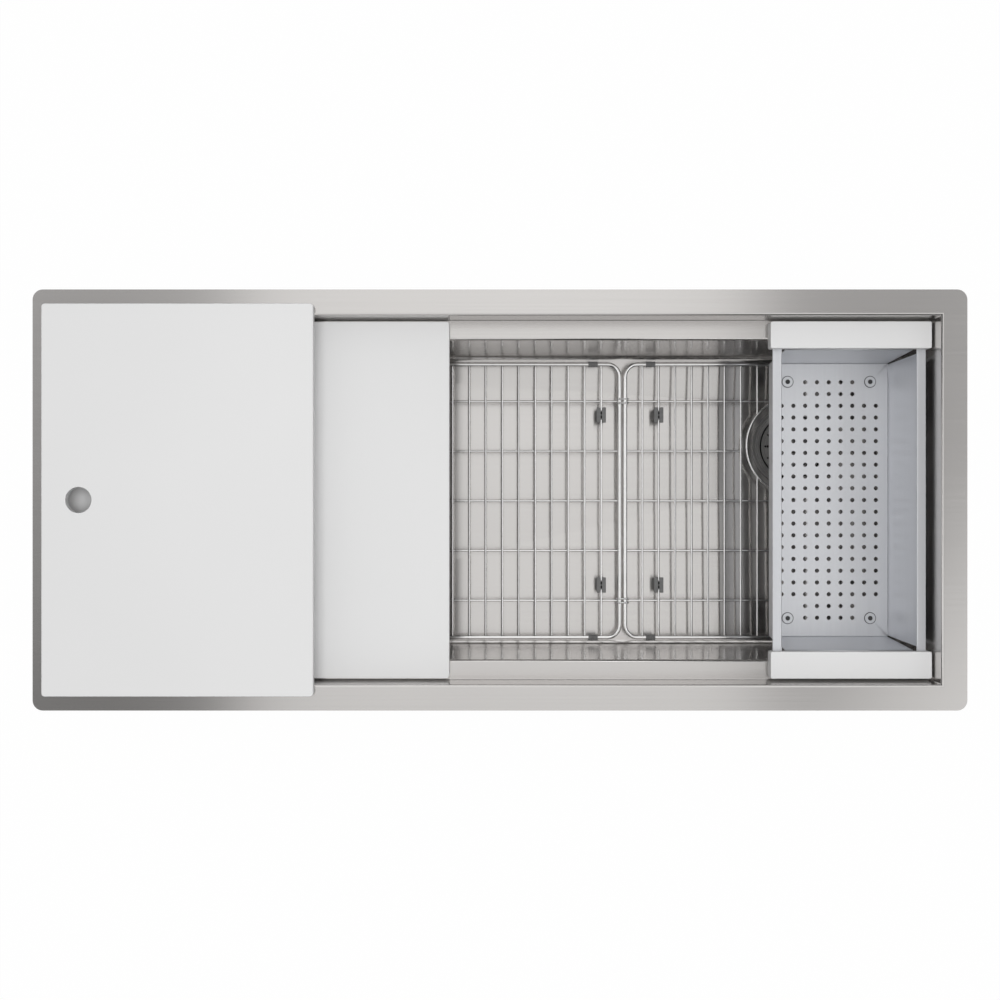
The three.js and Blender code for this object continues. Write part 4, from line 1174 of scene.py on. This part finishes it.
handle_polymer = polymer("handle_polymer", (0.79,) * 3, (0.82,) * 3, 0.45, 900, 0.03 * MM)
CHEEK = 4 * MM
BAR_CORNER = 2.4 * MM
BAR_EDGE = 1 * MM
REBATE_REACH = 203.2 * MM
REBATE_TOP = -43.1 * MM
for end in ("front", "rear"):
    node = f"colander_handle_{end}"
    low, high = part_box(node)
    side = math.copysign(1, high.y)
    inner = low.y if side > 0 else high.y
    lip = side * REBATE_REACH
    bar = bmesh.new()
    base = flat_face(bar, low.x, high.x, low.y, high.y, low.z)
    round_plan(bar, base, BAR_CORNER, 5)
    raised(bar, bar.faces[:], (0, 0, high.z - low.z))
    left, right = low.x + CHEEK, high.x - CHEEK
    for plane_place, plane_way in (
        ((left, 0, 0), (1, 0, 0)),
        ((right, 0, 0), (1, 0, 0)),
        ((0, lip, 0), (0, 1, 0)),
        ((0, 0, REBATE_TOP), (0, 0, 1)),
    ):
        bmesh.ops.bisect_plane(
            bar,
            geom=bar.verts[:] + bar.edges[:] + bar.faces[:],
            plane_co=plane_place,
            plane_no=plane_way,
        )
    for face in bar.faces[:]:
        middle = face.calc_center_median()
        if left < middle.x < right and abs(middle.y) < abs(lip) and middle.z < REBATE_TOP:
            bar.faces.remove(face)
    flat_face(bar, left, right, min(inner, lip), max(inner, lip), REBATE_TOP)
    for x in (left, right):
        cheek = ((inner, low.z), (lip, low.z), (lip, REBATE_TOP), (inner, REBATE_TOP))
        new_face(bar, [(x, y, z) for y, z in cheek])
    back = ((left, low.z), (right, low.z), (right, REBATE_TOP), (left, REBATE_TOP))
    new_face(bar, [(x, lip, z) for x, z in back])
    bmesh.ops.remove_doubles(bar, verts=bar.verts, dist=TINY)
    loose = [edge for edge in bar.edges if not edge.link_faces]
    bmesh.ops.delete(bar, geom=loose, context="EDGES")
    bmesh.ops.recalc_face_normals(bar, faces=bar.faces)
    for face in bar.faces:
        face.smooth = max(abs(part) for part in face.normal) < 0.999
    top_edges = [
        edge
        for edge in bar.edges
        if is_sharp(edge) and all(vert.co.z > high.z - TINY for vert in edge.verts)
    ]
    rounded(bar, top_edges, BAR_EDGE, 3)
    add_piece(bar, f"bar_{end}", handle_polymer, "colander", [node])

# ---------------------------------------------------------------------------------------
# Handle screws, tray washers and tray feet. Four screws hold the flange in the handles; each
# foot is a rubber button whose stem comes up through the floor and a steel washer.

button_rubber = rubber("button_rubber", (0.03,) * 3, (0.055,) * 3, 0.6, 320, 0.1 * MM)
bright_steel, tree, shader = finish_material("fastener_steel", (0.7, 0.69, 0.68), 0.2, 1.0)
swirl = grain(tree, (1, 1, 1), 500, 3.0)
tint(tree, shader, swirl, (0.62, 0.61, 0.6), (0.74, 0.73, 0.72))
wear(tree, shader, swirl, 0.15, 0.3)
SCREW_SIDES = 24
WASHER_SIDES = 40
BUTTON_SIDES = 32
STEM_BORE = 2.9 * MM
WASHER_RADIUS = 7.1 * MM
SHADE_RING_RADIUS = 7.9 * MM
SHADE_RING_HEIGHT = 0.35 * MM
screw_foot = [(0, 0.9), (1.1, 0.9), (1.5, 0.1), (2.2, 0), (3.3, 0.7), (3.6, 1.4), (3.6, 2.2)]
screw_shank = [(1.9, 2.2)]
screw_head = [(1.9, -0.8), (1.2, 0), (0, 0)]
button_foot = [(0, 0), (5.9, 0), (7, 0.6), (7.9, 7), (7.7, 8), (2.4, 8)]
button_head = [(2.4, -0.7), (3.1, -0.6), (2.4, 0), (0, 0)]


def plan_centre(node):
    """The middle of a node in plan, and the heights of its foot and head."""
    low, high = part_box(node)
    return Vector(((low.x + high.x) / 2, (low.y + high.y) / 2, 0)), low.z, high.z


for number in range(1, 5):
    node = f"handle_screw_{number}"
    turned_from_node(
        node,
        f"screw_{number}",
        plan_centre(node)[0],
        screw_foot + screw_shank,
        screw_head,
        SCREW_SIDES,
        bright_steel,
        "colander",
    )
    node = f"foot_washer_{number}"
    centre, washer_foot, washer_top = plan_centre(node)
    shade_ring_top = washer_foot + SHADE_RING_HEIGHT
    turned_piece(
        f"washer_{number}",
        ring_profile(STEM_BORE, WASHER_RADIUS, shade_ring_top, washer_top, 0.15 * MM),
        centre,
        WASHER_SIDES,
        tray_steel,
        "colander",
        [node],
    )
    # Under each washer lies a thin ring of dark rubber, a little wider than the washer, so that a
    # dark line shows round it: painted shade for the shaded gap at the washer's edge.
    turned_piece(
        f"washer_shade_ring_{number}",
        ring_profile(STEM_BORE, SHADE_RING_RADIUS, washer_foot, shade_ring_top, 0.1 * MM),
        centre,
        WASHER_SIDES,
        seal_rubber,
        "colander",
        [],
    )
    turned_from_node(
        f"colander_foot_{number}",
        f"button_{number}",
        centre,
        button_foot,
        button_head,
        BUTTON_SIDES,
        button_rubber,
        "colander",
    )

# ---------------------------------------------------------------------------------------
# Cutting boards. White polymer slabs with eased edges: the upper one, with a finger hole, on
# the rim, the lower one on the ledges. The lower one reaches a little further left than its
# solid, so that it fills what the finger hole shows.

BOARD_CORNER = 4 * MM
BOARD_EDGE = ((0.25 * MM, 0.6 * MM), (0.6 * MM, 0.25 * MM))
EDGE_HEIGHT = sum(rise for _, rise in BOARD_EDGE)
HOLE_PLACE = (-517.6 * MM, 0)
FINGER_HOLE = 15.9 * MM
FINGER_SIDES = 56
LEFT_ROOM = 2.8 * MM


def board(name, node, material, hole_place=None, left_room=0):
    """A slab with rounded corners and edges, and a round hole where a place is given."""
    low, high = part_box(node)
    low.x -= left_room
    bm = bmesh.new()
    middle = (low.z + high.z) / 2
    round_plan(bm, flat_face(bm, low.x, high.x, low.y, high.y, middle), BOARD_CORNER, 6)
    if hole_place:
        edges = bm.edges[:]
        bmesh.ops.delete(bm, geom=bm.faces[:], context="FACES_ONLY")
        hole, hole_edges = circle(bm, (*hole_place, middle), FINGER_HOLE, FINGER_SIDES)
        bmesh.ops.triangle_fill(bm, use_beauty=True, edges=edges + hole_edges)
        cleared(bm, set(hole))
    base = bm.faces[:]
    made = bmesh.ops.extrude_face_region(bm, geom=base)["geom"]
    upper_verts = set(only(made, BMVert))
    for vert in bm.verts:
        vert.co.z = high.z - EDGE_HEIGHT if vert in upper_verts else low.z + EDGE_HEIGHT
    bmesh.ops.recalc_face_normals(bm, faces=bm.faces)
    for region in (only(made, BMFace), base):
        for inset, rise in BOARD_EDGE:
            strip = bmesh.ops.inset_region(
                bm,
                faces=region,
                thickness=inset,
                depth=rise,
                use_even_offset=True,
                use_boundary=True,
            )["faces"]
            for face in strip:
                face.smooth = True
    add_piece(bm, name, material, node, [node])


board_polymer = polymer("board_polymer", (0.78,) * 3, (0.8,) * 3, 0.5, 700, 0.03 * MM)
board("board_over_rim", "upper_board", board_polymer, hole_place=HOLE_PLACE)
board("board_on_ledges", "lower_board", board_polymer, left_room=LEFT_ROOM)
